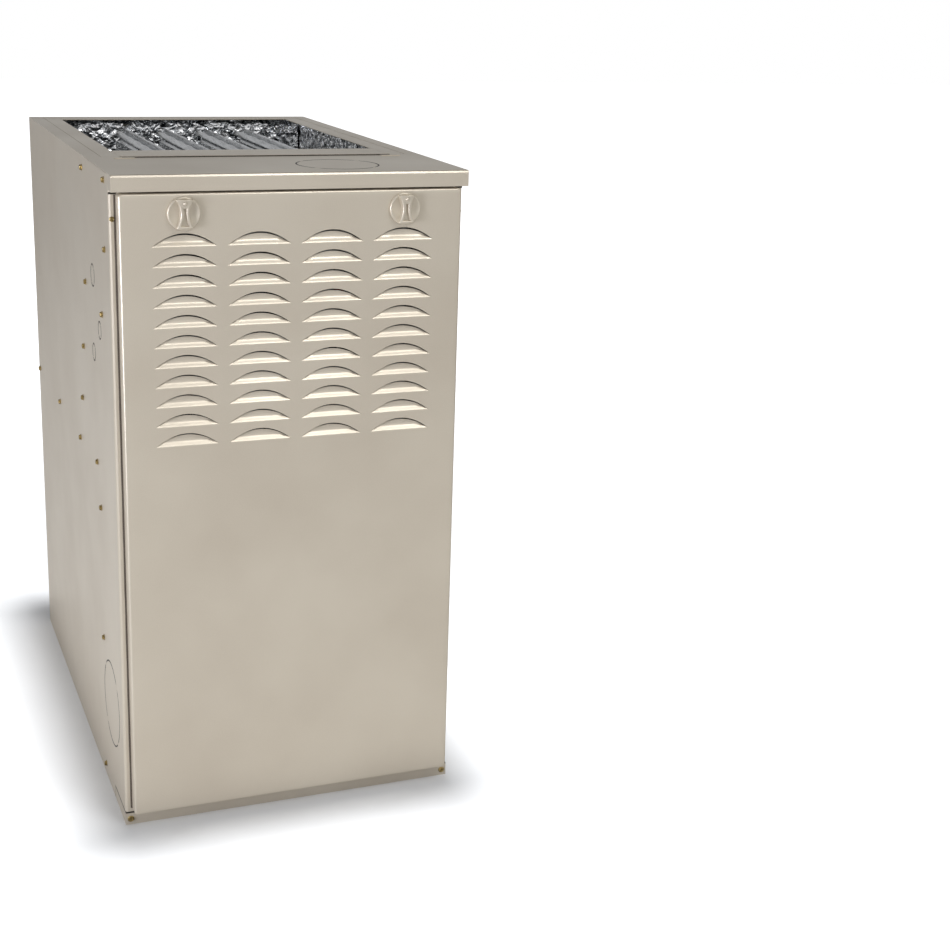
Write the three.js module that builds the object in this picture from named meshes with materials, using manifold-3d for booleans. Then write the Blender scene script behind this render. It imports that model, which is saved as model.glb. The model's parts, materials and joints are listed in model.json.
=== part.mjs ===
// Upflow forced-air gas furnace with one louvred door, as an assembly of separate sheet-metal pieces.
// Millimetres, +Z up. x runs across the front, y runs back from the casing's front plane, z up from the floor.
// The last group moves everything so that the origin lies under the middle of the whole furnace.
import * as THREE from "three";
import { mergeVertices } from "three/addons/utils/BufferGeometryUtils.js";
import Module from "manifold-3d";

const wasm = await Module();
wasm.setup();

// ---------- driving dimensions ----------
const fitGap = 0.3; // between two pieces that touch
const through = 2; // how far a cutter runs past the face it cuts

// casing, one folded sheet
const cabinetWidth = 445;
const cabinetDepth = 733;
const cabinetHeight = 846;
const casingSheet = 1;
const bendRadius = 3;
const frontFlange = 26; // folded in along each front edge
const frontHem = 12; // and back again
const topFlange = 44; // flat duct flange round the supply outlet
const ductBendLine = 20; // where the installer folds it up, from the outside
const bottomFlange = 35;
const sideNotchLength = 80; // cut low in each side for the base rail's end
const scoreWidth = 1.2;
const scoreDepth = 0.4;
const sideKnockoutRadius = 57;
const sideKnockoutBack = 85;
const sideKnockoutHeight = 135;
const smallKnockouts = [
  [134, 702, 14],
  [90, 640, 11],
  [141, 601, 11],
]; // back, height and radius of the pipe and cable knockouts in each side

// front cover over the burner space
const coverDepth = 168;
const doorProud = 20; // how far the closed door and the cover's lip stand in front of the casing
const lipDrop = 20;
const latchFlange = 46; // hangs behind the lip and takes the latches
const coverTabRight = 176;
const coverTabWidth = 26;
const coverTabBack = 146;
const ventKnockoutRadius = 52;
const ventKnockoutRight = 75;
const ventKnockoutBack = 58;

// base rail
const railHeight = 21.5;
const railEndHeight = 16;
const railEndLength = 77;
const railEndGap = 2.4; // shadow gap over the rail's end
const railShelf = 12;
const railUpstand = 12;
const railFoot = 40;
const railScrewInset = 6.5;
const railScrewHeight = 8;
const screwHeadRadius = 4.4;
const screwHeadHeight = 3;

// door
const doorSheet = 1.2;
const doorSideMargin = 8.5; // casing flange that shows beside the door
const doorTopGap = 2.5;
const doorTuck = 4; // the bottom fold reaches over the base rail's shelf
const knobHoleRadius = 4.5;

// louvres
const louvreColumns = 4;
const louvreRows = 11;
const louvreWidth = 79;
const louvreRise = 16.2;
const louvreDepth = 9;
const columnPitch = 91.5;
const rowPitch = 24.6;
const louvreTopMargin = 47.3; // from the door's top edge to the top row's crest
const louvreSteps = 5; // facets along a louvre's arc

// latch knobs
const knobSpacing = 276;
const knobDown = 46; // knob's middle below the cabinet's top
const knobRadius = 20;
const knobDisc = 5; // thickness of the round plate
const knobProud = 11;
const gripHalfWidth = 5.2; // at the waist of the grip
const gripFlare = 5; // added at its ends
const slotDepth = 3.5;
const ballRadius = 2.6;
const shaftRadius = 3;
const tongueLength = 28;
const tongueWidth = 6;
const tongueThickness = 2;
const latchSlotWidth = 8;

// inner walls
const shelfHeight = 447;
const shelfFold = 26;
const panelBack = 200; // front face of the heat exchanger's panel
const panelSheet = 1.2;
const ductStripBack = 238;
const stripTab = 14;
const stripLap = 10;
const stripStep = 1.5;
const insulationThickness = 12;
const insulationBelow = 3; // its top edge stays under the duct flange
const accessPanelBottom = 26;
const accessPanelOverlap = 12;
const accessPanelFold = 9;
const accessRibInset = 40;
const accessRibDepth = 4;

// heat exchanger
const cellCount = 4;
const cellPitch = 62;
const cellThickness = 30;
const cellTubeHeight = 44;
const cellAboveShelf = 53; // middle of the lowest pass
const cellTopGap = 18; // under the cabinet's top
const cellBendRadius = 30;
const cellFrontTurn = 250;
const cellBackTurn = 615;
const cellWeb = 2;
const cellBevel = 7;
const passes = 4;

// blower
const wheelRadius = 127;
const wheelWidth = 203;
const wheelInnerRadius = 109;
const wheelRing = 6;
const wheelDisc = 2;
const bladeCount = 20;
const bladeThickness = 1.2;
const wheelHubRadius = 14;
const wheelHubLength = 40;
const blowerBack = 400;
const blowerHeight = 238;
const scrollStart = 135;
const scrollEnd = 186;
const scrollSheet = 1.5;
const blowerSideGap = 12;
const inletRadius = 106;
const dischargeDepth = 200;
const motorRadius = 68;
const motorLength = 110;
const blowerShaftRadius = 6.35;
const wheelHubFront = 10;
const motorGap = 4;
const armWidth = 18;
const armReach = 128;
const capacitorRadius = 22;
const capacitorLength = 84;
const shaftClearance = 0.4;
const bandThickness = 3;
const armThickness = 5;

// draught inducer
const collectorWidth = 300;
const collectorDepth = 46;
const inducerRight = -8;
const inducerDown = 156; // wheel's middle below the cabinet's top
const inducerRadius = 82;
const inducerDepth = 52;
const inducerWall = 2;
const inducerWheelRadius = 62;
const inducerWheelWidth = 24;
const inducerBlades = 10;
const inducerMotorRadius = 44;
const inducerMotorLength = 78;
const inducerShaftRadius = 4;
const elbowWall = 1.5;
const elbowWidth = 72;

// burners and gas train
const burnerLength = 118;
const burnerRadius = 15;
const burnerThroat = 9;
const rackThickness = 1.5;
const rackBack = 178;
const rackHeight = 76;
const manifoldBack = 42;
const manifoldRadius = 11;
const valveWidth = 66;
const valveDepth = 54;
const valveHeight = 74;
const valveInset = 18;
const valveRise = 48;
const inletHexRadius = 11;
const switchTravel = 4;
const switchWell = 8;
const manifoldBend = 28;
const manifoldOverhang = 22;
const orificeRadius = 4;
const orificeReach = 4;
const probeRise = 24;
const probeHolder = 26;
const probeTipGap = 4;
const probeHole = 4;
const rolloutRadius = 11;
const rolloutDepth = 16;
const resetRadius = 2.6;
const resetLength = 9;
const resetProud = 3;
const limitRight = 130;
const limitAboveShelf = 128;
const pressureRadius = 34;
const pressureRight = 168;
const pressureDown = 130;
const nippleLength = 10;
const hoseBore = 2.6;
const hoseRadius = 3.4;
const hoseSag = 26;
const tapBack = 128;

// blower compartment
const filterSideGap = 24.5; // between the filter and the casing's side
const filterLength = 622;
const filterThickness = 20;
const filterLevel = 42;
const filterFront = 52;
const filterPleats = 14;
const filterFrame = 12;
const filterRail = 16;
const filterRailThickness = 1.2;
const controlClearance = 21.5; // beside the junction box
const controlWidth = 154;
const controlHeight = 128;
const controlDepth = 44;
const controlBack = 92;
const controlSheet = 1;
const hangerLength = 16;
const boardWidth = 130;
const boardHeight = 104;
const boardThickness = 1.6;
const boardInset = 11;
const standoff = 10;
const switchRight = 140;
const switchDown = 51; // below the shelf
const switchFaceBack = 12;
const switchBodyDepth = 28;
const switchBore = 16;
const switchPress = 4;
const junctionFront = 60;
const junctionDown = 147; // bottom of the junction box below the shelf
const junctionWidth = 50;
const junctionDepth = 66;
const junctionHeight = 92;

// ---------- places that follow from the dimensions ----------
const halfWidth = cabinetWidth / 2;
const wallInside = halfWidth - casingSheet;
const flangeInner = halfWidth - frontFlange;
const doorFront = -doorProud;
const lipFront = doorFront - casingSheet;
const lipBottom = cabinetHeight - lipDrop;
const doorHalf = halfWidth - doorSideMargin;
const doorTop = lipBottom - doorTopGap;
const doorBottom = railHeight + fitGap;
const lowestLouvre = doorTop - louvreTopMargin - louvreRise - (louvreRows - 1) * rowPitch;
const knobHeight = cabinetHeight - knobDown;
const cellLowestPass = shelfHeight + cellAboveShelf;
const cellPassPitch = (cabinetHeight - cellTopGap - cellTubeHeight / 2 - cellLowestPass) / (passes - 1);
const burnerHeight = cellLowestPass;
const inducerHeight = cabinetHeight - inducerDown;
const limitHeight = shelfHeight + limitAboveShelf;
const pressureHeight = cabinetHeight - pressureDown;
const filterWidth = 2 * (wallInside - filterSideGap);
const controlLeft = -wallInside + junctionWidth + controlClearance;
const switchHeight = shelfHeight - switchDown;
const junctionBottom = shelfHeight - junctionDown;
const panelTop = cabinetHeight - casingSheet - fitGap;
const boxTop = panelTop - insulationBelow;
const cellX = (i) => (i - (cellCount - 1) / 2) * cellPitch;
const insulationInside = wallInside - fitGap - insulationThickness;
const vestibuleBack = panelBack - fitGap;
const wallBack = cabinetDepth - bendRadius - fitGap;
const shelfUnder = shelfHeight - casingSheet - fitGap;
const scrollHalf = wheelWidth / 2 + blowerSideGap;
const dischargeBack = blowerBack + scrollEnd;

// ---------- geometry helpers ----------
// A closed geometry as a solid. Triangles that collapse where a lathe meets its axis are dropped.
function solidOf(geometry) {
  const bare = new THREE.BufferGeometry();
  bare.setAttribute("position", geometry.getAttribute("position"));
  if (geometry.index) bare.setIndex(geometry.index);
  const merged = mergeVertices(bare, 1e-4);
  const index = merged.index.array;
  const kept = [];
  for (let i = 0; i < index.length; i += 3) {
    const [a, b, c] = [index[i], index[i + 1], index[i + 2]];
    if (a !== b && b !== c && c !== a) kept.push(a, b, c);
  }
  const build = (order) =>
    new wasm.Manifold(
      new wasm.Mesh({
        numProp: 3,
        vertProperties: new Float32Array(merged.attributes.position.array),
        triVerts: new Uint32Array(order),
      }),
    );
  const made = build(kept);
  if (made.volume() > 0) return made;
  const turned = [];
  for (let i = 0; i < kept.length; i += 3) turned.push(kept[i], kept[i + 2], kept[i + 1]);
  return build(turned);
}

const joined = (...solids) => solids.flat().reduce((sum, s) => sum.add(s));
const cut = (body, ...tools) => tools.flat().reduce((left, tool) => left.subtract(tool), body);

// A block between two corners.
function block(x0, x1, y0, y1, z0, z1) {
  const geometry = new THREE.BoxGeometry(x1 - x0, y1 - y0, z1 - z0);
  geometry.translate((x0 + x1) / 2, (y0 + y1) / 2, (z0 + z1) / 2);
  return solidOf(geometry);
}

const shapeOf = (points) => new THREE.Shape(points.map(([a, b]) => new THREE.Vector2(a, b)));

function extruded(shape, depth, options = {}) {
  return new THREE.ExtrudeGeometry(shape, { depth, bevelEnabled: false, curveSegments: 16, ...options });
}

// The shape's own axes become (y, z), (x, z) or (x, y), and it is pushed along the third one.
function alongX(shape, x0, x1, options) {
  const geometry = extruded(shape, x1 - x0, options);
  geometry.applyMatrix4(new THREE.Matrix4().set(0, 0, 1, x0, 1, 0, 0, 0, 0, 1, 0, 0, 0, 0, 0, 1));
  return solidOf(geometry);
}
function alongY(shape, y0, y1, options) {
  const geometry = extruded(shape, y1 - y0, options);
  geometry.applyMatrix4(new THREE.Matrix4().set(1, 0, 0, 0, 0, 0, -1, y1, 0, 1, 0, 0, 0, 0, 0, 1));
  return solidOf(geometry);
}
function alongZ(shape, z0, z1, options) {
  const geometry = extruded(shape, z1 - z0, options);
  geometry.translate(0, 0, z0);
  return solidOf(geometry);
}

// A round bar between two values on one axis.
function rod(axis, a, b, from, to, radius, segments = 20) {
  const geometry = new THREE.CylinderGeometry(radius, radius, to - from, segments);
  geometry.translate(0, (from + to) / 2, 0);
  if (axis === "x") geometry.rotateZ(-Math.PI / 2).translate(0, a, b);
  if (axis === "y") geometry.translate(a, 0, b);
  if (axis === "z") geometry.rotateX(Math.PI / 2).translate(a, b, 0);
  return solidOf(geometry);
}

// A turned piece: profile points are (radius, distance along the axis).
function turned(axis, a, b, profile, segments = 20) {
  const points = profile.map(([r, d]) => new THREE.Vector2(r, d));
  const geometry = new THREE.LatheGeometry(points, segments);
  if (axis === "x") geometry.rotateZ(-Math.PI / 2).translate(0, a, b);
  if (axis === "y") geometry.translate(a, 0, b);
  if (axis === "z") geometry.rotateX(Math.PI / 2).translate(a, b, 0);
  return solidOf(geometry);
}

// Rounds the inner corners of an open or closed line of points.
function filleted(points, radius, steps) {
  const line = [points[0]];
  for (let i = 1; i < points.length - 1; i++) {
    const corner = new THREE.Vector2(...points[i]);
    const back = new THREE.Vector2(...points[i - 1]).sub(corner).normalize();
    const ahead = new THREE.Vector2(...points[i + 1]).sub(corner).normalize();
    const half = Math.acos(THREE.MathUtils.clamp(back.dot(ahead), -1, 1)) / 2;
    const centre = back.clone().add(ahead).normalize().multiplyScalar(radius / Math.sin(half)).add(corner);
    const start = back.multiplyScalar(radius / Math.tan(half)).add(corner).sub(centre);
    const end = ahead.multiplyScalar(radius / Math.tan(half)).add(corner).sub(centre);
    const turn = Math.atan2(start.cross(end), start.dot(end));
    for (let s = 0; s <= steps; s++) {
      const point = start.clone().rotateAround(new THREE.Vector2(), (turn * s) / steps).add(centre);
      line.push([point.x, point.y]);
    }
  }
  line.push(points[points.length - 1]);
  return line;
}

// The same line moved sideways: positive is to the right of its direction.
function offsetLine(points, distance) {
  const normals = points.slice(1).map(([x, y], i) => {
    const along = new THREE.Vector2(x - points[i][0], y - points[i][1]).normalize();
    return new THREE.Vector2(along.y, -along.x);
  });
  return points.map(([x, y], i) => {
    const before = normals[Math.max(i - 1, 0)];
    const after = normals[Math.min(i, normals.length - 1)];
    const mitre = before.clone().add(after);
    mitre.multiplyScalar((2 * distance) / mitre.lengthSq());
    return [x + mitre.x, y + mitre.y];
  });
}

// The section of a folded sheet: a line of points with the metal to its right.
const sheetSection = (points, thickness) =>
  shapeOf([...points, ...offsetLine(points, thickness).reverse()]);

const ringShape = (outer, inner) => {
  const shape = new THREE.Shape().absarc(0, 0, outer, 0, Math.PI * 2);
  shape.holes.push(new THREE.Path().absarc(0, 0, inner, 0, Math.PI * 2));
  return shape;
};

// A tube along a line of 3-D points.
function tubeAlong(points, radius, steps, sides = 10) {
  const path = new THREE.CatmullRomCurve3(points.map((p) => new THREE.Vector3(...p)), false, "centripetal");
  const section = new THREE.Shape().absarc(0, 0, radius, 0, Math.PI * 2);
  return solidOf(
    new THREE.ExtrudeGeometry(section, { steps, extrudePath: path, curveSegments: sides / 2, bevelEnabled: false }),
  );
}

// ---------- casing ----------
// One sheet folded round the left side, the back and the right side.
function casingWrap() {
  const section = filleted(
    [
      [-flangeInner, frontHem],
      [-flangeInner, 0],
      [-halfWidth, 0],
      [-halfWidth, cabinetDepth],
      [halfWidth, cabinetDepth],
      [halfWidth, 0],
      [flangeInner, 0],
      [flangeInner, frontHem],
    ],
    bendRadius,
    2,
  );
  const walls = alongZ(sheetSection(section, casingSheet), 0, cabinetHeight);

  const outer = halfWidth - casingSheet / 2;
  const back = cabinetDepth - casingSheet / 2;
  const flangePlan = (width, front) =>
    shapeOf([
      [-outer, front],
      [-outer, back],
      [outer, back],
      [outer, front],
      [halfWidth - width, front],
      [halfWidth - width, cabinetDepth - width],
      [width - halfWidth, cabinetDepth - width],
      [width - halfWidth, front],
    ]);
  const topStart = coverDepth + fitGap;
  const bottomStart = sideNotchLength;
  const duct = alongZ(flangePlan(topFlange, topStart), cabinetHeight - casingSheet, cabinetHeight);
  const floor = alongZ(flangePlan(bottomFlange, bottomStart), 0, casingSheet);

  const coverLevel = cabinetHeight - casingSheet - fitGap;
  const underCover = block(-halfWidth - through, halfWidth + through, -through, topStart, coverLevel, cabinetHeight + through);
  const besideWall = wallInside;
  const hemDepth = frontHem + through;
  const lipSpace = block(-besideWall, besideWall, -through, hemDepth, lipBottom - fitGap, cabinetHeight + through);
  const notchTop = railEndHeight + railEndGap;
  const notch = block(-halfWidth - through, halfWidth + through, -through, sideNotchLength, -through, notchTop);
  return cut(joined(walls, duct, floor), underCover, lipSpace, notch, ductScores(), sideScores());
}

// Grooves that mark where the duct flange folds up.
function ductScores() {
  const line = halfWidth - ductBendLine;
  const back = cabinetDepth - ductBendLine;
  const low = cabinetHeight - scoreDepth;
  const high = cabinetHeight + through;
  const front = coverDepth - through;
  const half = scoreWidth / 2;
  return [
    block(-line - half, -line + half, front, back, low, high),
    block(line - half, line + half, front, back, low, high),
    block(-line - half, line + half, back - half, back + half, low, high),
  ];
}

// Round scores of the knockout low on each side.
function sideScores() {
  const ring = ringShape(sideKnockoutRadius + scoreWidth / 2, sideKnockoutRadius - scoreWidth / 2);
  const scored = (shape, options) => [
    alongX(shape, -halfWidth - through, -halfWidth + scoreDepth, options),
    alongX(shape, halfWidth - scoreDepth, halfWidth + through, options),
  ];
  const large = scored(ring).map((s) => s.translate([0, sideKnockoutBack, sideKnockoutHeight]));
  const half = scoreWidth / 2;
  const small = smallKnockouts.flatMap(([y, z, radius]) =>
    scored(ringShape(radius + half, radius - half), { curveSegments: 5 }).map((s) => s.translate([0, y, z])),
  );
  return [...large, ...small];
}

// Top of the burner space: flat top, lip in front, fold back under it and a flange for the latches.
function topCover() {
  const top = cabinetHeight;
  const flangeFace = casingSheet + fitGap;
  const cap = sheetSection(
    filleted([[coverDepth, top], [lipFront, top], [lipFront, lipBottom]], bendRadius, 2).reverse(),
    casingSheet,
  );
  const hanger = sheetSection(
    [
      [flangeFace + casingSheet, lipBottom - latchFlange],
      [flangeFace + casingSheet, lipBottom + casingSheet],
      [lipFront + casingSheet / 2, lipBottom + casingSheet],
    ].reverse(),
    casingSheet,
  );
  const inside = wallInside - fitGap;
  const ends = [-1, 1].map((side) => {
    const wall = side * (halfWidth - casingSheet / 2);
    const [x0, x1] = [wall - casingSheet / 2, wall + casingSheet / 2];
    const low = lipBottom + casingSheet / 2;
    return block(x0, x1, lipFront + casingSheet / 2, -fitGap, low, top - casingSheet / 2);
  });
  const underLip = alongX(hanger, -inside, inside);
  const clearOfHems = [-1, 1].map((side) => {
    const [near, far] = [flangeInner - fitGap, halfWidth + through];
    const [x0, x1] = side < 0 ? [-far, -near] : [near, far];
    return block(x0, x1, -fitGap, frontHem + through, lipBottom - latchFlange - through, lipBottom);
  });
  const slots = [-1, 1].map((side) => {
    const x = (side * knobSpacing) / 2;
    const half = latchSlotWidth / 2;
    const slotTop = knobHeight + tongueLength / 2 + fitGap * 4;
    return block(x - half, x + half, 0, flangeFace + 2 * casingSheet, lipBottom - latchFlange - through, slotTop);
  });
  const ring = ringShape(ventKnockoutRadius + scoreWidth / 2, ventKnockoutRadius - scoreWidth / 2);
  const vent = alongZ(ring, top - scoreDepth, top + through).translate([ventKnockoutRight, ventKnockoutBack, 0]);
  const tabs = [-1, 1].map((side) => {
    const x = side * coverTabRight;
    return block(x - coverTabWidth / 2, x + coverTabWidth / 2, coverTabBack, coverTabBack + 6, top - casingSheet / 2, top + 0.8);
  });
  const body = joined(alongX(cap, -halfWidth, halfWidth), cut(underLip, clearOfHems), ends, tabs);
  return cut(body, slots, vent);
}

// Rail across the front at the floor. The door stands on its shelf.
function baseRail() {
  const inside = flangeInner - fitGap;
  const section = sheetSection(
    [
      [railShelf, railHeight + railUpstand],
      [railShelf, railHeight],
      [0, railHeight],
      [0, 0],
      [railFoot, 0],
    ].reverse(),
    casingSheet,
  );
  const front = alongX(section, -halfWidth, halfWidth);
  const ends = [-1, 1].map((side) => {
    const [x0, x1] = side < 0 ? [-halfWidth, -wallInside] : [wallInside, halfWidth];
    return block(x0, x1, 0, railEndLength, 0, railEndHeight);
  });
  const cornerCuts = [-1, 1].map((side) => {
    const far = halfWidth + through;
    const [x0, x1] = side < 0 ? [-far, -inside] : [inside, far];
    return block(x0, x1, -through, railShelf + 2 * through, railEndHeight, railHeight + railUpstand + through);
  });
  const body = joined(front, ends);
  const screwHoles = [-1, 1].map((side) => {
    const x = side * (halfWidth - railScrewInset);
    return rod("y", x, railScrewHeight, -through, casingSheet + through, screwHeadRadius / 2, 10);
  });
  return cut(body, cornerCuts, screwHoles);
}

// Hex washer-head screw at one end of the base rail.
function railScrew(side) {
  const x = side * (halfWidth - railScrewInset);
  const shank = screwHeadRadius / 2 - fitGap;
  const washer = 0.8;
  const head = turned("y", x, railScrewHeight, [
    [0, -screwHeadHeight],
    [screwHeadRadius * 0.72, -screwHeadHeight],
    [screwHeadRadius * 0.72, -washer - fitGap],
    [screwHeadRadius, -washer - fitGap],
    [screwHeadRadius, -fitGap],
    [shank, -fitGap],
    [shank, casingSheet + through * 3],
    [0, casingSheet + through * 4],
  ], 12);
  return head;
}

// ---------- door ----------
// One louvre blade: cut free along the arc, pushed in, still joined to the door along its straight foot.
// Its sections are lofted from tip to tip, and both tips end inside the door's sheet.
function louvreBlade(centre, foot) {
  const profile = [
    [0, -0.7, 0],
    [0.3, 0.1, 0.72],
    [1, 0.7, 1],
  ]; // share of the rise, millimetres added to it, share of the depth
  const inset = 0.2;
  const skin = doorSheet - 2 * inset;
  const rows = [];
  for (let i = 0; i <= louvreSteps; i++) {
    const across = Math.sin(-Math.PI / 2 + (Math.PI * i) / louvreSteps);
    const share = 1 - across * across;
    const x = centre + across * (louvreWidth / 2 + doorSheet);
    const point = ([up, extra, inward]) => [
      x,
      doorFront + inset + inward * louvreDepth * Math.sqrt(share),
      foot + extra + up * louvreRise * share,
    ];
    const front = profile.map(point);
    rows.push([...front, ...front.map(([a, b, c]) => [a, b + skin, c]).reverse()]);
  }
  const n = rows[0].length;
  const vertices = rows.flat(2);
  const index = [];
  for (let i = 0; i < rows.length - 1; i++)
    for (let j = 0; j < n; j++) {
      const [a, b] = [i * n + j, i * n + ((j + 1) % n)];
      // both skins fold along the same diagonals, so the sheet keeps its thickness
      if (j < n / 2) index.push(a, b, b + n, a, b + n, a + n);
      else index.push(a, b, a + n, b, b + n, a + n);
    }
  const last = (rows.length - 1) * n;
  for (let j = 1; j < n / 2; j++) {
    const [a, b, c, d] = [j - 1, j, n - 1 - j, n - j];
    index.push(a, c, b, a, d, c);
    index.push(last + a, last + b, last + c, last + a, last + c, last + d);
  }
  const geometry = new THREE.BufferGeometry();
  geometry.setAttribute("position", new THREE.Float32BufferAttribute(vertices, 3));
  geometry.setIndex(index);
  return solidOf(geometry);
}

// The half-moon window that a blade leaves in the door's face.
function louvreWindow(centre, foot) {
  const arc = [];
  for (let i = 0; i <= louvreSteps; i++) {
    const angle = -Math.PI / 2 + (Math.PI * i) / louvreSteps;
    const across = Math.sin(angle);
    arc.push([centre + (across * louvreWidth) / 2, foot + louvreRise * (1 - across * across)]);
  }
  return alongY(shapeOf(arc.reverse()), doorFront - through, doorFront + doorSheet + through);
}

function door() {
  const deep = -doorSheet - fitGap;
  const face = doorFront;
  const outer = block(-doorHalf, doorHalf, face, deep, doorBottom, doorTop);
  const hollow = block(
    -doorHalf + doorSheet, doorHalf - doorSheet,
    face + doorSheet, deep + through,
    doorBottom + doorSheet, doorTop - doorSheet,
  );
  const tuckHalf = flangeInner - 2 * through;
  const tuck = block(-tuckHalf, tuckHalf, deep - doorSheet, doorTuck, doorBottom, doorBottom + doorSheet);
  const windows = [];
  const blades = [];
  for (let row = 0; row < louvreRows; row++)
    for (let column = 0; column < louvreColumns; column++) {
      const x = (column - (louvreColumns - 1) / 2) * columnPitch;
      const z = lowestLouvre + row * rowPitch;
      windows.push(louvreWindow(x, z));
      blades.push(louvreBlade(x, z));
    }
  const knobHoles = [-1, 1].map((side) =>
    rod("y", (side * knobSpacing) / 2, knobHeight, face - through, face + doorSheet + through, knobHoleRadius, 16),
  );
  const pan = cut(joined(outer.subtract(hollow), tuck), wasm.Manifold.union(windows), knobHoles);
  return joined(pan, wasm.Manifold.union(blades));
}

// Round knob with a waisted grip and a coin slot. It turns a shaft that carries the latch tongue.
function latchKnob(side) {
  const x = (side * knobSpacing) / 2;
  const back = doorFront - fitGap;
  const rim = 1.5;
  const disc = turned("y", x, knobHeight, [
    [0, back],
    [knobRadius, back],
    [knobRadius, back - knobDisc + rim],
    [knobRadius - rim, back - knobDisc],
    [0, back - knobDisc],
  ], 32);
  const waist = (scale, length) => {
    const points = [];
    const steps = 6;
    for (let i = 0; i <= steps; i++) {
      const t = -1 + (2 * i) / steps;
      points.push([x + (gripHalfWidth + gripFlare * t * t) * scale, knobHeight + t * length]);
    }
    for (let i = 0; i <= steps; i++) {
      const t = 1 - (2 * i) / steps;
      points.push([x - (gripHalfWidth + gripFlare * t * t) * scale, knobHeight + t * length]);
    }
    return shapeOf(points);
  };
  const gripLength = knobRadius * 0.86;
  const grip = alongY(waist(1, gripLength), doorFront - knobProud, back - knobDisc / 2);
  const slotShift = gripLength * 0.2;
  const slotFloor = doorFront - knobProud + slotDepth;
  const coinSlot = alongY(waist(0.5, gripLength * 0.66), doorFront - knobProud - through, slotFloor).translate([0, 0, -slotShift]);
  const ball = solidOf(new THREE.SphereGeometry(ballRadius, 12, 8).translate(x, doorFront - knobProud, knobHeight + gripLength * 0.72));
  const shaft = rod("y", x, knobHeight, back - knobDisc / 2, casingSheet * 2 + fitGap * 4, shaftRadius, 16);
  return joined(cut(joined(disc, grip, shaft), coinSlot), ball);
}

// Flat tongue behind the cover's flange: upright it passes the slot, turned it locks.
function latchTongue(side) {
  const x = (side * knobSpacing) / 2;
  const face = casingSheet * 2 + fitGap * 5;
  const plate = block(
    x - tongueWidth / 2, x + tongueWidth / 2,
    face, face + tongueThickness,
    knobHeight - tongueLength / 2, knobHeight + tongueLength / 2,
  );
  return plate;
}

// ---------- inner walls ----------
// Floor of the heat exchanger space. The blower blows up through its opening.
function blowerShelf() {
  const inside = wallInside - fitGap;
  const behindHems = frontHem + fitGap;
  const between = flangeInner - fitGap;
  const plate = block(-inside, inside, behindHems, wallBack, shelfHeight - casingSheet, shelfHeight);
  const tongue = block(-between, between, 0, behindHems + through, shelfHeight - casingSheet, shelfHeight);
  const fold = block(-between, between, 0, casingSheet, shelfHeight - shelfFold, shelfHeight);
  const half = scrollHalf - scrollSheet;
  const [front, back] = [dischargeBack - dischargeDepth + scrollSheet, dischargeBack - scrollSheet];
  const hole = block(-half, half, front, back, shelfHeight - casingSheet - through, shelfHeight + through);
  return cut(joined(plate, tongue, fold), hole);
}

// Upright panel that carries the cells, the burners and the inducer.
function cellPanel() {
  const inside = wallInside - fitGap;
  const plate = block(-inside, inside, panelBack, panelBack + panelSheet, shelfHeight + fitGap, panelTop);
  const outlet = cellLowestPass + cellPassPitch * (passes - 1);
  const bores = [];
  for (let i = 0; i < cellCount; i++)
    for (const z of [cellLowestPass, outlet]) {
      const radius = cellThickness / 2 - cellWeb;
      bores.push(rod("y", cellX(i), z, panelBack - through, panelBack + panelSheet + through, radius, 12));
    }
  return cut(plate, bores);
}

// Flat strip in front of the supply outlet, over the cover's rear edge, with a downward tab behind it.
function ductStrip() {
  const inside = halfWidth - topFlange - fitGap;
  const front = coverDepth + fitGap;
  const low = cabinetHeight - casingSheet;
  const strip = block(-inside, inside, front, ductStripBack, low, cabinetHeight);
  const lap = block(-inside, inside, front - stripLap, front + through, cabinetHeight + fitGap, cabinetHeight + stripStep);
  const riser = block(-inside, inside, front, front + through, low, cabinetHeight + stripStep);
  const tab = block(-inside, inside, front, front + casingSheet, low - stripTab, cabinetHeight - casingSheet / 2);
  const line = ductStripBack - (topFlange - ductBendLine);
  const half = scoreWidth / 2;
  const score = block(
    -inside - through, inside + through,
    line - half, line + half,
    cabinetHeight - scoreDepth, cabinetHeight + through,
  );
  return cut(joined(strip, lap, riser, tab), score);
}

function insulationSide(side) {
  const outer = wallInside - fitGap;
  const [x0, x1] = side < 0 ? [-outer, -insulationInside] : [insulationInside, outer];
  const front = panelBack + panelSheet + fitGap;
  return block(x0, x1, front, wallBack, shelfHeight + fitGap, boxTop);
}

function insulationBack() {
  const half = insulationInside - fitGap;
  return block(-half, half, wallBack - insulationThickness, wallBack, shelfHeight + fitGap, boxTop);
}

// Panel behind the door that closes the blower space.
function accessPanel() {
  const half = flangeInner + accessPanelOverlap;
  const face = -fitGap - casingSheet;
  const top = shelfHeight - shelfFold / 2;
  const plate = block(-half, half, face, face + casingSheet, accessPanelBottom, top);
  const fold = block(-half, half, face - accessPanelFold, face + casingSheet / 2, top - casingSheet, top);
  const ribHalf = half - accessRibInset;
  const middle = (accessPanelBottom + top) / 2;
  const ribs = [-1, 1].map((side) => {
    const z = middle + (side * (top - accessPanelBottom)) / 6;
    return block(-ribHalf, ribHalf, face - accessRibDepth, face + casingSheet / 2, z - accessRibDepth, z + accessRibDepth);
  });
  return joined(plate, fold, ribs);
}

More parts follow.
